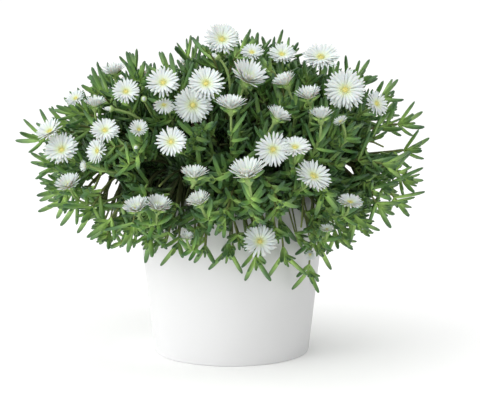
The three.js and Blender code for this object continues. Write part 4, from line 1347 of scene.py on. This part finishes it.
def grain_group():
    """Fine even grain, as a normal."""
    sockets = {"Scale": "Float", "Strength": "Float", "Distance": "Float"}
    group, inputs, outputs, waves = group_with_pattern("fine grain", 3, sockets, {"Normal": "Vector"})
    bump = group.nodes.new("ShaderNodeBump")
    group.links.new(waves, bump.inputs["Height"])
    group.links.new(inputs.outputs["Strength"], bump.inputs["Strength"])
    group.links.new(inputs.outputs["Distance"], bump.inputs["Distance"])
    group.links.new(bump.outputs["Normal"], outputs.inputs["Normal"])
    return group


def shared_group(name, make):
    return bpy.data.node_groups.get(name) or make()


class Finish:
    """A material with the Principled shader and the plant's shared effects."""

    def __init__(self, name, specular=0.4, **constants):
        self.material = bpy.data.materials.new(name)
        self.material.use_nodes = True
        self.tree = self.material.node_tree
        self.shader = self.tree.nodes["Principled BSDF"]
        self.shader.inputs["Specular IOR Level"].default_value = specular
        for socket, value in constants.items():
            self.shader.inputs[socket.replace("_", " ")].default_value = value

    def value(self, name):
        node = self.tree.nodes.new("ShaderNodeAttribute")
        node.attribute_name = name
        return node.outputs["Fac"]

    def ramp(self, source, low, high, start=0.0, end=1.0):
        node = self.tree.nodes.new("ShaderNodeMapRange")
        self.tree.links.new(source, node.inputs["Value"])
        for socket, value in (("From Min", low), ("From Max", high), ("To Min", start), ("To Max", end)):
            node.inputs[socket].default_value = value
        return node.outputs["Result"]

    def colour_socket(self, socket, colour):
        """Gives a socket a colour, or the output of another node."""
        if isinstance(colour, bpy.types.NodeSocket):
            self.tree.links.new(colour, socket)
        else:
            socket.default_value = (*colour, 1)

    def mix(self, factor, low, high):
        node = self.tree.nodes.new("ShaderNodeMix")
        node.data_type = "RGBA"
        self.tree.links.new(factor, node.inputs["Factor"])
        self.colour_socket(node.inputs["A"], low)
        self.colour_socket(node.inputs["B"], high)
        return node.outputs["Result"]

    def place_group(self, name, make, values):
        node = self.tree.nodes.new("ShaderNodeGroup")
        node.node_tree = shared_group(name, make)
        for socket, value in values.items():
            node.inputs[socket].default_value = value
        return node

    def mottle(self, colour, patch, scale, amount, low, high):
        values = {"Scale": scale, "Amount": amount, "Low roughness": low, "High roughness": high}
        node = self.place_group("soft mottling", mottle_group, values)
        self.colour_socket(node.inputs["Colour"], colour)
        self.colour_socket(node.inputs["Patch colour"], patch)
        self.tree.links.new(node.outputs["Colour"], self.shader.inputs["Base Color"])
        self.tree.links.new(node.outputs["Roughness"], self.shader.inputs["Roughness"])

    def grain(self, scale, strength, distance):
        values = {"Scale": scale, "Strength": strength, "Distance": distance}
        node = self.place_group("fine grain", grain_group, values)
        self.tree.links.new(node.outputs["Normal"], self.shader.inputs["Normal"])


def darker(colour, share):
    return [share * part for part in colour]


def pot_finish(settings):
    finish = Finish("matt white glaze", specular=0.35)
    finish.mottle(settings.colour, darker(settings.colour, 0.96), 14, 0.6, 0.4, 0.55)
    finish.grain(420, 0.06, 0.0006)
    return finish.material


def soil_finish(settings):
    finish = Finish("damp potting mix", specular=0.25)
    finish.mottle(settings.colour, settings.crumb_colour, 240, 0.8, 0.8, 1.0)
    finish.grain(500, 0.6, 0.001)
    return finish.material


def leaf_finish(settings):
    finish = Finish("fleshy leaf", specular=0.45)
    colour = finish.mix(finish.value("youth"), settings.leaf_colour, settings.young_colour)
    cool = finish.ramp(finish.value("tint"), 0.45, 1.0, 0.0, 0.7)
    colour = finish.mix(cool, colour, settings.cool_colour)
    foot = finish.ramp(finish.value("length"), 0.0, 0.55, 0.7, 0.0)
    colour = finish.mix(foot, colour, settings.young_colour)
    tip = finish.ramp(finish.value("length"), 0.35, 0.95, 0.0, 0.92)
    colour = finish.mix(tip, colour, settings.tip_colour)
    dark = finish.ramp(finish.value("tint"), 0.0, 0.35, 0.45, 0.0)
    colour = finish.mix(dark, colour, settings.dark_colour)
    shade = finish.ramp(finish.value("light"), 0.0, 1.0, 0.85, 0.0)
    colour = finish.mix(shade, colour, settings.inner_colour)
    finish.mottle(colour, settings.leaf_colour, 180, 0.3, 0.36, 0.52)
    finish.grain(1600, 0.25, 0.0003)
    return finish.material


def stem_finish(settings):
    finish = Finish("green to woody stem", specular=0.3)
    colour = finish.mix(finish.value("length"), settings.wood_colour, settings.stem_colour)
    colour = finish.mix(finish.value("youth"), colour, settings.stalk_colour)
    shade = finish.ramp(finish.value("light"), 0.0, 0.8, 0.85, 0.0)
    colour = finish.mix(shade, colour, settings.inner_colour)
    finish.mottle(colour, settings.wood_colour, 260, 0.15, 0.5, 0.7)
    finish.grain(900, 0.3, 0.0004)
    return finish.material


def core_finish(settings):
    finish = Finish("shaded inner foliage", specular=0.1)
    finish.mottle(settings.inner_colour, settings.wood_colour, 120, 0.4, 0.8, 1.0)
    finish.grain(300, 0.8, 0.002)
    return finish.material


def petal_finish(settings):
    finish = Finish("silky white petal", specular=0.3, Subsurface_Weight=0.12, Subsurface_Scale=0.004)
    lilac = finish.ramp(finish.value("tint"), 0.35, 1.0, 0.0, 0.75)
    colour = finish.mix(lilac, settings.petal_colour, settings.shade_colour)
    stripe = finish.ramp(finish.value("across"), -1.0, 1.0, 0.0, 0.25)
    colour = finish.mix(stripe, colour, settings.shade_colour)
    foot = finish.ramp(finish.value("length"), 0.0, 0.55, 0.85, 0.0)
    colour = finish.mix(foot, colour, settings.foot_colour)
    finish.mottle(colour, settings.shade_colour, 320, 0.25, 0.42, 0.6)
    finish.grain(1400, 0.15, 0.0002)
    return finish.material


def stamen_finish(settings):
    finish = Finish("pollen yellow centre", specular=0.25)
    tip = finish.ramp(finish.value("length"), 0.5, 0.8, 0.0, 1.0)
    colour = finish.mix(tip, settings.foot_colour, settings.pollen_colour)
    deep = finish.ramp(finish.value("tint"), 0.3, 1.0, 0.0, 0.6)
    colour = finish.mix(deep, colour, settings.deep_pollen_colour)
    finish.mottle(colour, settings.deep_pollen_colour, 500, 0.3, 0.6, 0.8)
    finish.grain(2200, 0.4, 0.0003)
    return finish.material


def floor_finish(settings):
    glow = {"Emission_Color": (1, 1, 1, 1), "Emission_Strength": 0.1}
    finish = Finish("pale light table", specular=0.1, **glow)
    finish.mottle(settings.floor_colour, darker(settings.floor_colour, 0.985), 3, 0.5, 0.8, 0.95)
    return finish.material


# Settings

def colour_property(name, description, default):
    return FloatVectorProperty(
        name=name, description=description, subtype="COLOR", default=default, min=0, max=1)


def length_property(name, description, default):
    """A length, whose default is in millimetres."""
    return FloatProperty(name=name, description=description, default=default * MM, unit="LENGTH")


def power_property(name, description, default):
    return FloatProperty(name=name, description=description, default=default, unit="POWER")


def count_property(name, description, default, least=0):
    return IntProperty(name=name, description=description, default=default, min=least)


class PotSettings(bpy.types.PropertyGroup):
    height: length_property("Height", "Height of the pot", POT_TOP)
    rim_round: length_property("Rim rounding", "Radius of the rounded rim", 1.8)
    colour: colour_property("Glaze", "Colour of the pot", (0.75, 0.75, 0.755))


class SoilSettings(bpy.types.PropertyGroup):
    crumbs: count_property("Crumbs", "Loose crumbs on the soil", 420)
    roughness: length_property("Unevenness", "Height of the lumps", 2.4)
    colour: colour_property("Soil", "Colour of the damp mix", (0.035, 0.022, 0.014))
    crumb_colour: colour_property("Crumb", "Colour of the lighter crumbs", (0.12, 0.08, 0.05))


class FoliageSettings(bpy.types.PropertyGroup):
    seed: IntProperty(name="Seed", description="Seed of the finer growth", default=11)
    inner_shoots: count_property("Inner shoots", "Short shoots that fill the inside", 400)
    fringe_shoots: count_property("Fringe shoots", "Short shoots that hang over the rim", 300)
    leaf_colour: colour_property("Leaf", "Grown leaves", (0.15, 0.35, 0.068))
    young_colour: colour_property("Young leaf", "Leaves at a shoot's end", (0.55, 0.78, 0.21))
    cool_colour: colour_property("Blue-green leaf", "Leaves with a cooler tone", (0.075, 0.205, 0.095))
    tip_colour: colour_property("Leaf tip", "Grey-green tips", (0.021, 0.065, 0.035))
    dark_colour: colour_property("Dark leaf", "Older leaves", (0.033, 0.11, 0.02))
    inner_colour: colour_property("Inner leaf", "Leaves in the shade", (0.006, 0.018, 0.005))
    stem_colour: colour_property("Stem", "Green stems", (0.17, 0.22, 0.06))
    wood_colour: colour_property("Woody stem", "Brown lower stems", (0.1, 0.06, 0.028))
    stalk_colour: colour_property("Flower stalk", "Light green stalks", (0.27, 0.4, 0.13))


class BloomSettings(bpy.types.PropertyGroup):
    seed: IntProperty(name="Seed", description="Seed of the petals' small differences", default=5)
    petals: count_property("Petals", "Petals of a large bloom", 68, 12)
    stamens: count_property("Stamens", "Stamens of a bloom", 34, 6)
    petal_width: FloatProperty(
        name="Petal width", description="Width of a petal, as a share of the bloom's radius", default=0.125)
    petal_colour: colour_property("Petal", "White petals", (0.76, 0.8, 0.755))
    shade_colour: colour_property("Petal shade", "Faint lilac in the petals", (0.63, 0.66, 0.69))
    foot_colour: colour_property("Petal foot", "Greenish white by the centre", (0.68, 0.76, 0.36))
    pollen_colour: colour_property("Pollen", "Pale yellow centre", (0.85, 0.78, 0.3))
    deep_pollen_colour: colour_property("Deep pollen", "Ripe centre", (0.62, 0.52, 0.13))


class StageSettings(bpy.types.PropertyGroup):
    floor_colour: colour_property("Floor", "Colour of the floor", (0.93, 0.93, 0.93))
    key_power: power_property("Key light", "Power of the light on the left", 8)
    top_power: power_property("Top light", "Power of the high light on the right", 6)
    left_sky: FloatProperty(
        name="Sky on the left", description="Strength of the soft light from there", default=1.75)
    right_sky: FloatProperty(
        name="Sky on the right", description="Strength of the soft light from there", default=0.25)


# Pieces

def place_on_root(piece, slot_name, *nodes):
    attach(piece, "root")
    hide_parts(*nodes)


class MakePot(bpy.types.Operator):
    """Make the tapered pot with its rounded rim"""

    bl_idname = "ice_plant.pot"
    bl_label = "Pot"

    def execute(self, context):
        settings = context.scene.ice_pot
        height = settings.height / MM
        lip = settings.rim_round / MM
        bend_height, bend_inset = FOOT_BEND
        rings = [
            (0, BASE_RADIUS - FOOT_CHAMFER), (bend_height, BASE_RADIUS - bend_inset),
            (FOOT_CHAMFER, BASE_RADIUS),
        ]
        for share in (0.2, 0.4, 0.6, 0.8):
            rings.append((height * share, pot_outer_radius(height * share)))
        outer = pot_outer_radius(height - lip) - 0.1
        inner = outer - WALL
        middle = (outer + inner) / 2
        rings.append((height - lip, outer))
        for turn in range(1, LIP_STEPS):
            angle = math.pi * turn / LIP_STEPS
            rings.append((height - lip + lip * math.sin(angle), middle + WALL / 2 * math.cos(angle)))
        for share in (0.985, 0.8, 0.6, 0.4, 0.2):
            rings.append((height * share, pot_outer_radius(height * share) - WALL))
        rings.append((POT_FLOOR, pot_outer_radius(POT_FLOOR) - WALL))
        rounds = [(z * MM, radius * MM, radius * MM) for z, radius in rings]
        piece = drawn_out("pot_body", 128, rounds)
        bpy.ops.object.shade_smooth_by_angle(angle=math.radians(40))
        piece.data.materials.append(pot_finish(settings))
        place_on_root(piece, "pot", "pot")
        return {"FINISHED"}


class MakeSoil(bpy.types.Operator):
    """Make the uneven soil with loose crumbs on it"""

    bl_idname = "ice_plant.soil"
    bl_label = "Soil"

    def execute(self, context):
        settings = context.scene.ice_soil
        inset = WALL + GAP
        foot = POT_FLOOR + GAP
        edge = pot_outer_radius(SOIL_EDGE_HEIGHT) - inset
        mound_height = SOIL_MIDDLE_HEIGHT - SOIL_EDGE_HEIGHT
        rings = [(foot, pot_outer_radius(foot) - inset), (SOIL_EDGE_HEIGHT, edge)]
        for k in range(1, SOIL_STEPS):
            share = k / SOIL_STEPS
            rings.append((SOIL_EDGE_HEIGHT + mound_height * share, edge * (1 - share)))
        rounds = [(z * MM, radius * MM, radius * MM) for z, radius in rings]
        mound = drawn_out("soil_mound", 96, rounds, to_point=True)
        chance = random.Random(3)
        self.roughen(mound, settings.roughness)
        crumb = self.crumb_form()
        growth = Growth([soil_finish(settings)])
        base = Form(mound)
        growth.add(base, base.corners / MM, growth.finishes[0], chance.random())
        for _ in range(settings.crumbs):
            radius = edge * 0.95 * math.sqrt(chance.random())
            place = polar(radius, chance.uniform(0, 2 * math.pi))
            share = 1 - radius / edge
            place[2] = SOIL_EDGE_HEIGHT + mound_height * share
            size = chance.uniform(0.8, 2.4)
            growth.add(crumb, place + crumb.corners * size, growth.finishes[0], chance.random())
        place_on_root(growth.to_piece("potting_mix"), "soil", "soil")
        return {"FINISHED"}

    @staticmethod
    def roughen(mound, height):
        """Lumps on the top alone, pushed up by a noise pattern."""
        texture = bpy.data.textures.new("soil lumps", "CLOUDS")
        texture.noise_scale = 0.009
        texture.noise_depth = 3
        top = mound.vertex_groups.new(name="top")
        inner = (pot_outer_radius(SOIL_EDGE_HEIGHT) - WALL - 2) * MM
        floor = (SOIL_EDGE_HEIGHT - 1) * MM
        chosen = [
            corner.index for corner in mound.data.vertices
            if corner.co.z > floor and math.hypot(corner.co.x, corner.co.y) < inner
        ]
        top.add(chosen, 1.0, "REPLACE")
        lumps = mound.modifiers.new("lumps", "DISPLACE")
        lumps.texture = texture
        lumps.texture_coords = "LOCAL"
        lumps.vertex_group = "top"
        lumps.direction = "Z"
        lumps.strength = height * 2
        lumps.mid_level = 0.6
        bpy.ops.object.modifier_apply(modifier="lumps")

    @staticmethod
    def crumb_form():
        deselect_all()
        bpy.ops.mesh.primitive_ico_sphere_add(subdivisions=1, radius=1)
        made = bpy.context.object
        bpy.ops.object.mode_set(mode="EDIT")
        bpy.ops.mesh.select_all(action="SELECT")
        bpy.ops.transform.vertex_random(offset=0.25, seed=4)
        bpy.ops.transform.resize(value=(1, 0.8, 0.65), center_override=(0, 0, 0))
        bpy.ops.object.mode_set(mode="OBJECT")
        return Form(made)


def stem_node(region):
    return "leafy_stem_middle" if region == SECTOR_COUNT else f"leafy_stem_{region + 1:02d}"


class MakeLeafyStems(bpy.types.Operator):
    """Make the leafy stems with their shoots, leaves, flower stalks and buds"""

    bl_idname = "ice_plant.leafy_stems"
    bl_label = "Leafy stems"

    def execute(self, context):
        settings = context.scene.ice_foliage
        plan = Plan(settings)
        self.forms = {
            "leaf": leaf_form(), "small_leaf": small_leaf_form(), "rod": rod_form(6, 10),
            "thin_rod": rod_form(4, 6), "calyx": calyx_form(), "petal": petal_form(),
        }
        self.leaf, self.stem = leaf_finish(settings), stem_finish(settings)
        self.core = core_finish(settings)
        self.petal = petal_finish(context.scene.ice_blooms)
        self.chance = random.Random(settings.seed + 2)
        shares = self.core_shares()
        for region in range(SECTOR_COUNT + 1):
            growth = Growth([self.leaf, self.stem, self.core, self.petal])
            growth.add(shares[region], shares[region].corners / MM, self.core)
            self.add_trunk(growth, region)
            self.add_growth_of(growth, plan, region)
            node = stem_node(region)
            place_on_root(growth.to_piece(f"{node}_foliage"), "foliage", node)
        return {"FINISHED"}

    def add_growth_of(self, growth, plan, region):
        """All that grows from one region's stem: shoots, flower stalks and buds, with their leaves."""
        for rod, shoots in (("rod", plan.shoots), ("thin_rod", plan.inner)):
            for shoot in shoots:
                if shoot.region == region:
                    self.add_shoot(growth, shoot, self.forms[rod])
        for stalk in plan.leafy_stalks:
            if stalk.region == region:
                self.add_leaves(growth, stalk)
        for bloom, path in zip(plan.blooms, plan.stalks):
            if bloom.region == region and path:
                self.add_stalk(growth, bloom, path)
        for bud in plan.buds:
            if bud.region == region:
                self.add_bud(growth, bud)

    def core_shares(self):
        """The shaded inside of the foliage, cut into one share for each leafy stem."""
        deselect_all()
        bpy.ops.mesh.primitive_ico_sphere_add(subdivisions=4, radius=1)
        whole = bpy.context.object
        for corner in whole.data.vertices:
            way = np.array(corner.co)
            ripple = CORE_RIPPLE * math.sin(9 * way[0] + 3) * math.sin(11 * way[1] + 1)
            ripple *= math.sin(8 * way[2])
            corner.co = Vector(dome_point(way, CORE_SHARE + ripple) * MM)
        shares = []
        for region in range(SECTOR_COUNT + 1):
            share = whole.copy()
            share.data = whole.data.copy()
            bpy.context.collection.objects.link(share)
            deselect_all()
            share.select_set(True)
            bpy.context.view_layer.objects.active = share
            bpy.ops.object.mode_set(mode="EDIT")
            planes = [(polar(1, angle), polar(offset, angle)) for angle, offset in REGIONS[region]]
            planes.append((UP, UP * (CORE_FLOOR + CORE_LIFT)))
            for normal, place in planes:
                bpy.ops.mesh.select_all(action="SELECT")
                bpy.ops.mesh.bisect(
                    plane_co=place * MM, plane_no=normal, threshold=1e-6, use_fill=True, clear_inner=True)
            bpy.ops.mesh.select_all(action="SELECT")
            bpy.ops.mesh.normals_make_consistent(inside=False)
            bpy.ops.object.mode_set(mode="OBJECT")
            shares.append(Form(share))
        bpy.data.objects.remove(whole)
        return shares

    def add_trunk(self, growth, region):
        foot = stem_place(region) + UP * (SOIL_EDGE_HEIGHT - STEM_SINK)
        top = stem_place(region) + UP * STEM_TOP
        path = Path(foot, (foot + top) / 2, top)
        rod = self.forms["rod"]
        growth.add(rod, bent_rod(rod, path, 0, 1, STEM_RADIUS, STEM_RADIUS * 0.8), self.stem, light=0.0)

    def add_shoot(self, growth, shoot, rod):
        start = max(0.0, shoot.start - 0.1)
        stem = bent_rod(rod, shoot.path, start, 1, SHOOT_RADIUS, 0.7)
        growth.add(rod, stem, self.stem, light=light_at(stem))
        self.add_leaves(growth, shoot)

    def add_leaves(self, growth, shoot):
        for leaf in shoot.leaves:
            form = self.forms["leaf" if leaf.length > LONG_LEAF else "small_leaf"]
            light = light_at(leaf.points(0.7)[None, :])[0]
            youth = leaf.youth * self.chance.uniform(0.7, 1.0)
            growth.add(form, bent_leaf(form, leaf, 0.95), self.leaf, self.chance.random(), youth, light)

    def add_stalk(self, growth, bloom, path):
        rod = self.forms["rod"]
        start = path.rooted_share()
        stem = bent_rod(rod, path, start, 1, 1.15, 0.95)
        growth.add(rod, stem, self.stem, youth=0.85, light=light_at(stem))
        calyx = self.forms["calyx"]
        height = bloom.hub_depth + GAP - 0.03 * bloom.radius
        cup = set_upright(calyx, bloom.stalk_end, bloom.axis, 0.27 * bloom.radius, height)
        growth.add(calyx, cup, self.stem, youth=0.95)
        self.add_sepals(growth, bloom)

    def add_sepals(self, growth, bloom):
        """Five fleshy sepals under the petals, two of them longer."""
        form = self.forms["leaf"]
        spin = self.chance.uniform(0, 2 * math.pi)
        for k in range(5):
            out = bloom.out(spin + 2 * math.pi * k / 5)
            rise = bloom.rise - math.radians(9)
            direction = out * math.cos(rise) + bloom.axis * math.sin(rise)
            root = bloom.centre + out * 0.16 * bloom.radius - bloom.axis * 0.16 * bloom.radius
            length = bloom.radius * (0.62 if k % 2 else 0.46)
            sepal = Leaf(root, direction, bloom.axis, length, 0.19 * bloom.radius, 0.7)
            sepal.bend = bloom.axis * 0.06
            growth.add(form, bent_leaf(form, sepal), self.leaf, self.chance.random(), 0.7, 1.0)

    def add_bud(self, growth, bud):
        """White petals still wrapped together in a green cup."""
        rod, calyx, petal = self.forms["rod"], self.forms["calyx"], self.forms["petal"]
        growth.add(rod, bent_rod(rod, bud.path, bud.start, 1, 1.1, 0.9), self.stem, youth=0.85)
        radius, end, axis = bud.bud_radius, bud.path.end, bud.path.ahead(1.0)
        first = sideways(axis)
        second = cross(axis, first)
        cup = set_upright(calyx, end - axis * 2, axis, radius, 3.4)
        growth.add(calyx, cup, self.stem, youth=0.9)
        petals = 9
        for k in range(petals):
            angle = 2 * math.pi * k / petals
            out = first * math.cos(angle) + second * math.sin(angle)
            leaf = Leaf(end + out * radius * 0.55, axis, out, radius * 2.1, radius * 0.9, 0)
            leaf.bend = -out * 0.3
            growth.add(petal, bent_leaf(petal, leaf), self.petal, self.chance.random() * 0.5)


class MakeBlooms(bpy.types.Operator):
    """Make the blooms with their layers of narrow petals and their stamens"""

    bl_idname = "ice_plant.blooms"
    bl_label = "Blooms"

    def execute(self, context):
        self.settings = context.scene.ice_blooms
        self.petal, self.stamen = petal_finish(self.settings), stamen_finish(self.settings)
        self.forms = {"petal": petal_form(), "stamen": stamen_form(), "boss": boss_form()}
        self.chance = random.Random(self.settings.seed)
        for index, group in enumerate(bloom_groups(lay_out_blooms())):
            growth = Growth([self.petal, self.stamen])
            for bloom in group:
                self.add_petals(growth, bloom)
                self.add_centre(growth, bloom)
            node = f"bloom_{index + 1:02d}"
            place_on_root(growth.to_piece(f"{node}_petals"), "petals", node)
        return {"FINISHED"}

    def add_petals(self, growth, bloom):
        """Three layers: long flat petals below, shorter and steeper ones above."""
        count = self.settings.petals * min(1, 0.55 + bloom.radius / 30)
        if bloom.rise > math.radians(28):
            layers = ((0.36, 1.0, 0, -0.02), (0.34, 0.97, 11, 0.015), (0.3, 0.88, 23, 0.05))
        else:
            layers = ((0.34, 1.0, -4, -0.03), (0.34, 0.97, 2, 0.01), (0.32, 0.86, 9, 0.05))
        for part, reach, lift, height in layers:
            number = max(7, round(count * part))
            spin = self.chance.uniform(0, 2 * math.pi)
            for k in range(number):
                angle = spin + 2 * math.pi * (k + self.chance.uniform(-0.22, 0.22)) / number
                self.add_petal(growth, bloom, angle, reach, lift, height)

    def add_petal(self, growth, bloom, angle, reach, lift, height):
        radius, chance = bloom.radius, self.chance
        out = bloom.out(angle)
        rise = bloom.rise + math.radians(lift + chance.uniform(-5, 5))
        direction = out * math.cos(rise) + bloom.axis * math.sin(rise)
        root = bloom.centre + out * 0.13 * radius + bloom.axis * height * radius
        length = radius * reach * chance.uniform(0.86, 1.0) - 0.13 * radius
        width = self.settings.petal_width * radius * chance.uniform(0.85, 1.15)
        petal = Leaf(root, direction, bloom.axis, length, width, 0)
        petal.bend = bloom.axis * chance.uniform(-0.1, 0.06)
        tint = chance.random()
        form = self.forms["petal"]
        growth.add(form, bent_leaf(form, petal), self.petal, tint)

    def add_centre(self, growth, bloom):
        """A low boss with stamens that lean outwards, by a spiral rule."""
        boss, stamen = self.forms["boss"], self.forms["stamen"]
        radius, chance = bloom.radius, self.chance
        low = bloom.centre - bloom.axis * 0.02 * radius
        corners = set_upright(boss, low, bloom.axis, 0.18 * radius, 0.1 * radius)
        growth.add(boss, corners, self.stamen, 0.3)
        number = self.settings.stamens
        for k in range(number):
            share = math.sqrt((k + 0.5) / number)
            out = bloom.out(math.radians(GOLDEN_ANGLE * k))
            lean = unit(bloom.axis + out * share * 0.75)
            root = low + out * share * 0.17 * radius + bloom.axis * 0.05 * radius * (1 - share)
            height = radius * chance.uniform(0.13, 0.18)
            corners = set_upright(stamen, root, lean, 0.022 * radius, height)
            growth.add(stamen, corners, self.stamen, chance.random())


class MakeStage(bpy.types.Operator):
    """Make the floor, the lights and the camera"""

    bl_idname = "ice_plant.stage"
    bl_label = "Stage"

    def execute(self, context):
        settings = context.scene.ice_stage
        deselect_all()
        bpy.ops.mesh.primitive_circle_add(vertices=96, radius=16, fill_type="NGON")
        floor = context.object
        floor.name = "studio_floor"
        floor.data.materials.append(floor_finish(settings))
        self.add_light("key_light", settings.key_power, 1.1, (-1.35, -1.15, 1.15))
        self.add_light("top_light", settings.top_power, 0.9, (0.7, -0.5, 1.6))
        self.add_sky(context.scene, settings)
        self.add_camera(context.scene)
        context.scene.view_settings.view_transform = "Standard"
        return {"FINISHED"}

    @staticmethod
    def add_light(name, power, size, place):
        bpy.ops.object.light_add(type="AREA", location=place)
        light = bpy.context.object
        light.name = name
        light.data.energy = power
        light.data.size = size
        aim = Vector((0, 0, 0.14)) - Vector(place)
        light.rotation_euler = aim.to_track_quat("-Z", "Y").to_euler()

    @staticmethod
    def add_sky(scene, settings):
        """Soft white light from all round, stronger on the left."""
        scene.world = bpy.data.worlds.new("soft light")
        scene.world.use_nodes = True
        tree = scene.world.node_tree
        background = tree.nodes["Background"]
        background.inputs["Color"].default_value = (1, 1, 1, 1)
        way = tree.nodes.new("ShaderNodeTexCoord")
        parts = tree.nodes.new("ShaderNodeSeparateXYZ")
        strength = tree.nodes.new("ShaderNodeMapRange")
        strength.inputs["From Min"].default_value = -1
        strength.inputs["To Min"].default_value = settings.left_sky
        strength.inputs["To Max"].default_value = settings.right_sky
        tree.links.new(way.outputs["Generated"], parts.inputs["Vector"])
        tree.links.new(parts.outputs["X"], strength.inputs["Value"])
        tree.links.new(strength.outputs["Result"], background.inputs["Strength"])

    @staticmethod
    def add_camera(scene):
        bpy.ops.object.camera_add(location=Vector(VIEW.eye * MM))
        camera = bpy.context.object
        camera.rotation_euler = (math.pi / 2 - VIEW.pitch, 0, -VIEW.yaw)
        camera.data.sensor_width = 36
        camera.data.sensor_fit = "HORIZONTAL"
        camera.data.lens = VIEW.focal * camera.data.sensor_width / FRAME_WIDTH
        camera.data.clip_start = 0.05
        camera.data.clip_end = 60
        scene.camera = camera


class IcePlantPanel(bpy.types.Panel):
    """Buttons and settings of the potted ice plant"""

    bl_idname = "ICE_PLANT_PT_panel"
    bl_label = "Potted ice plant"
    bl_space_type = "VIEW_3D"
    bl_region_type = "UI"
    bl_category = "Ice plant"

    def draw(self, context):
        for operator, group in STEPS:
            box = self.layout.box()
            box.operator(operator.bl_idname)
            for name in SETTINGS[group].__annotations__:
                box.prop(getattr(context.scene, group), name)


SETTINGS = {
    "ice_pot": PotSettings,
    "ice_soil": SoilSettings,
    "ice_foliage": FoliageSettings,
    "ice_blooms": BloomSettings,
    "ice_stage": StageSettings,
}

STEPS = (
    (MakePot, "ice_pot"),
    (MakeSoil, "ice_soil"),
    (MakeLeafyStems, "ice_foliage"),
    (MakeBlooms, "ice_blooms"),
    (MakeStage, "ice_stage"),
)


def register():
    for name, group in SETTINGS.items():
        bpy.utils.register_class(group)
        setattr(bpy.types.Scene, name, PointerProperty(type=group))
    for operator, _ in STEPS:
        bpy.utils.register_class(operator)
    bpy.utils.register_class(IcePlantPanel)


def unregister():
    bpy.utils.unregister_class(IcePlantPanel)
    for operator, _ in reversed(STEPS):
        bpy.utils.unregister_class(operator)
    for name, group in reversed(SETTINGS.items()):
        delattr(bpy.types.Scene, name)
        bpy.utils.unregister_class(group)


def main():
    register()
    bpy.ops.ice_plant.pot()
    bpy.ops.ice_plant.soil()
    bpy.ops.ice_plant.leafy_stems()
    bpy.ops.ice_plant.blooms()
    bpy.ops.ice_plant.stage()


if __name__ == "__main__":
    main()
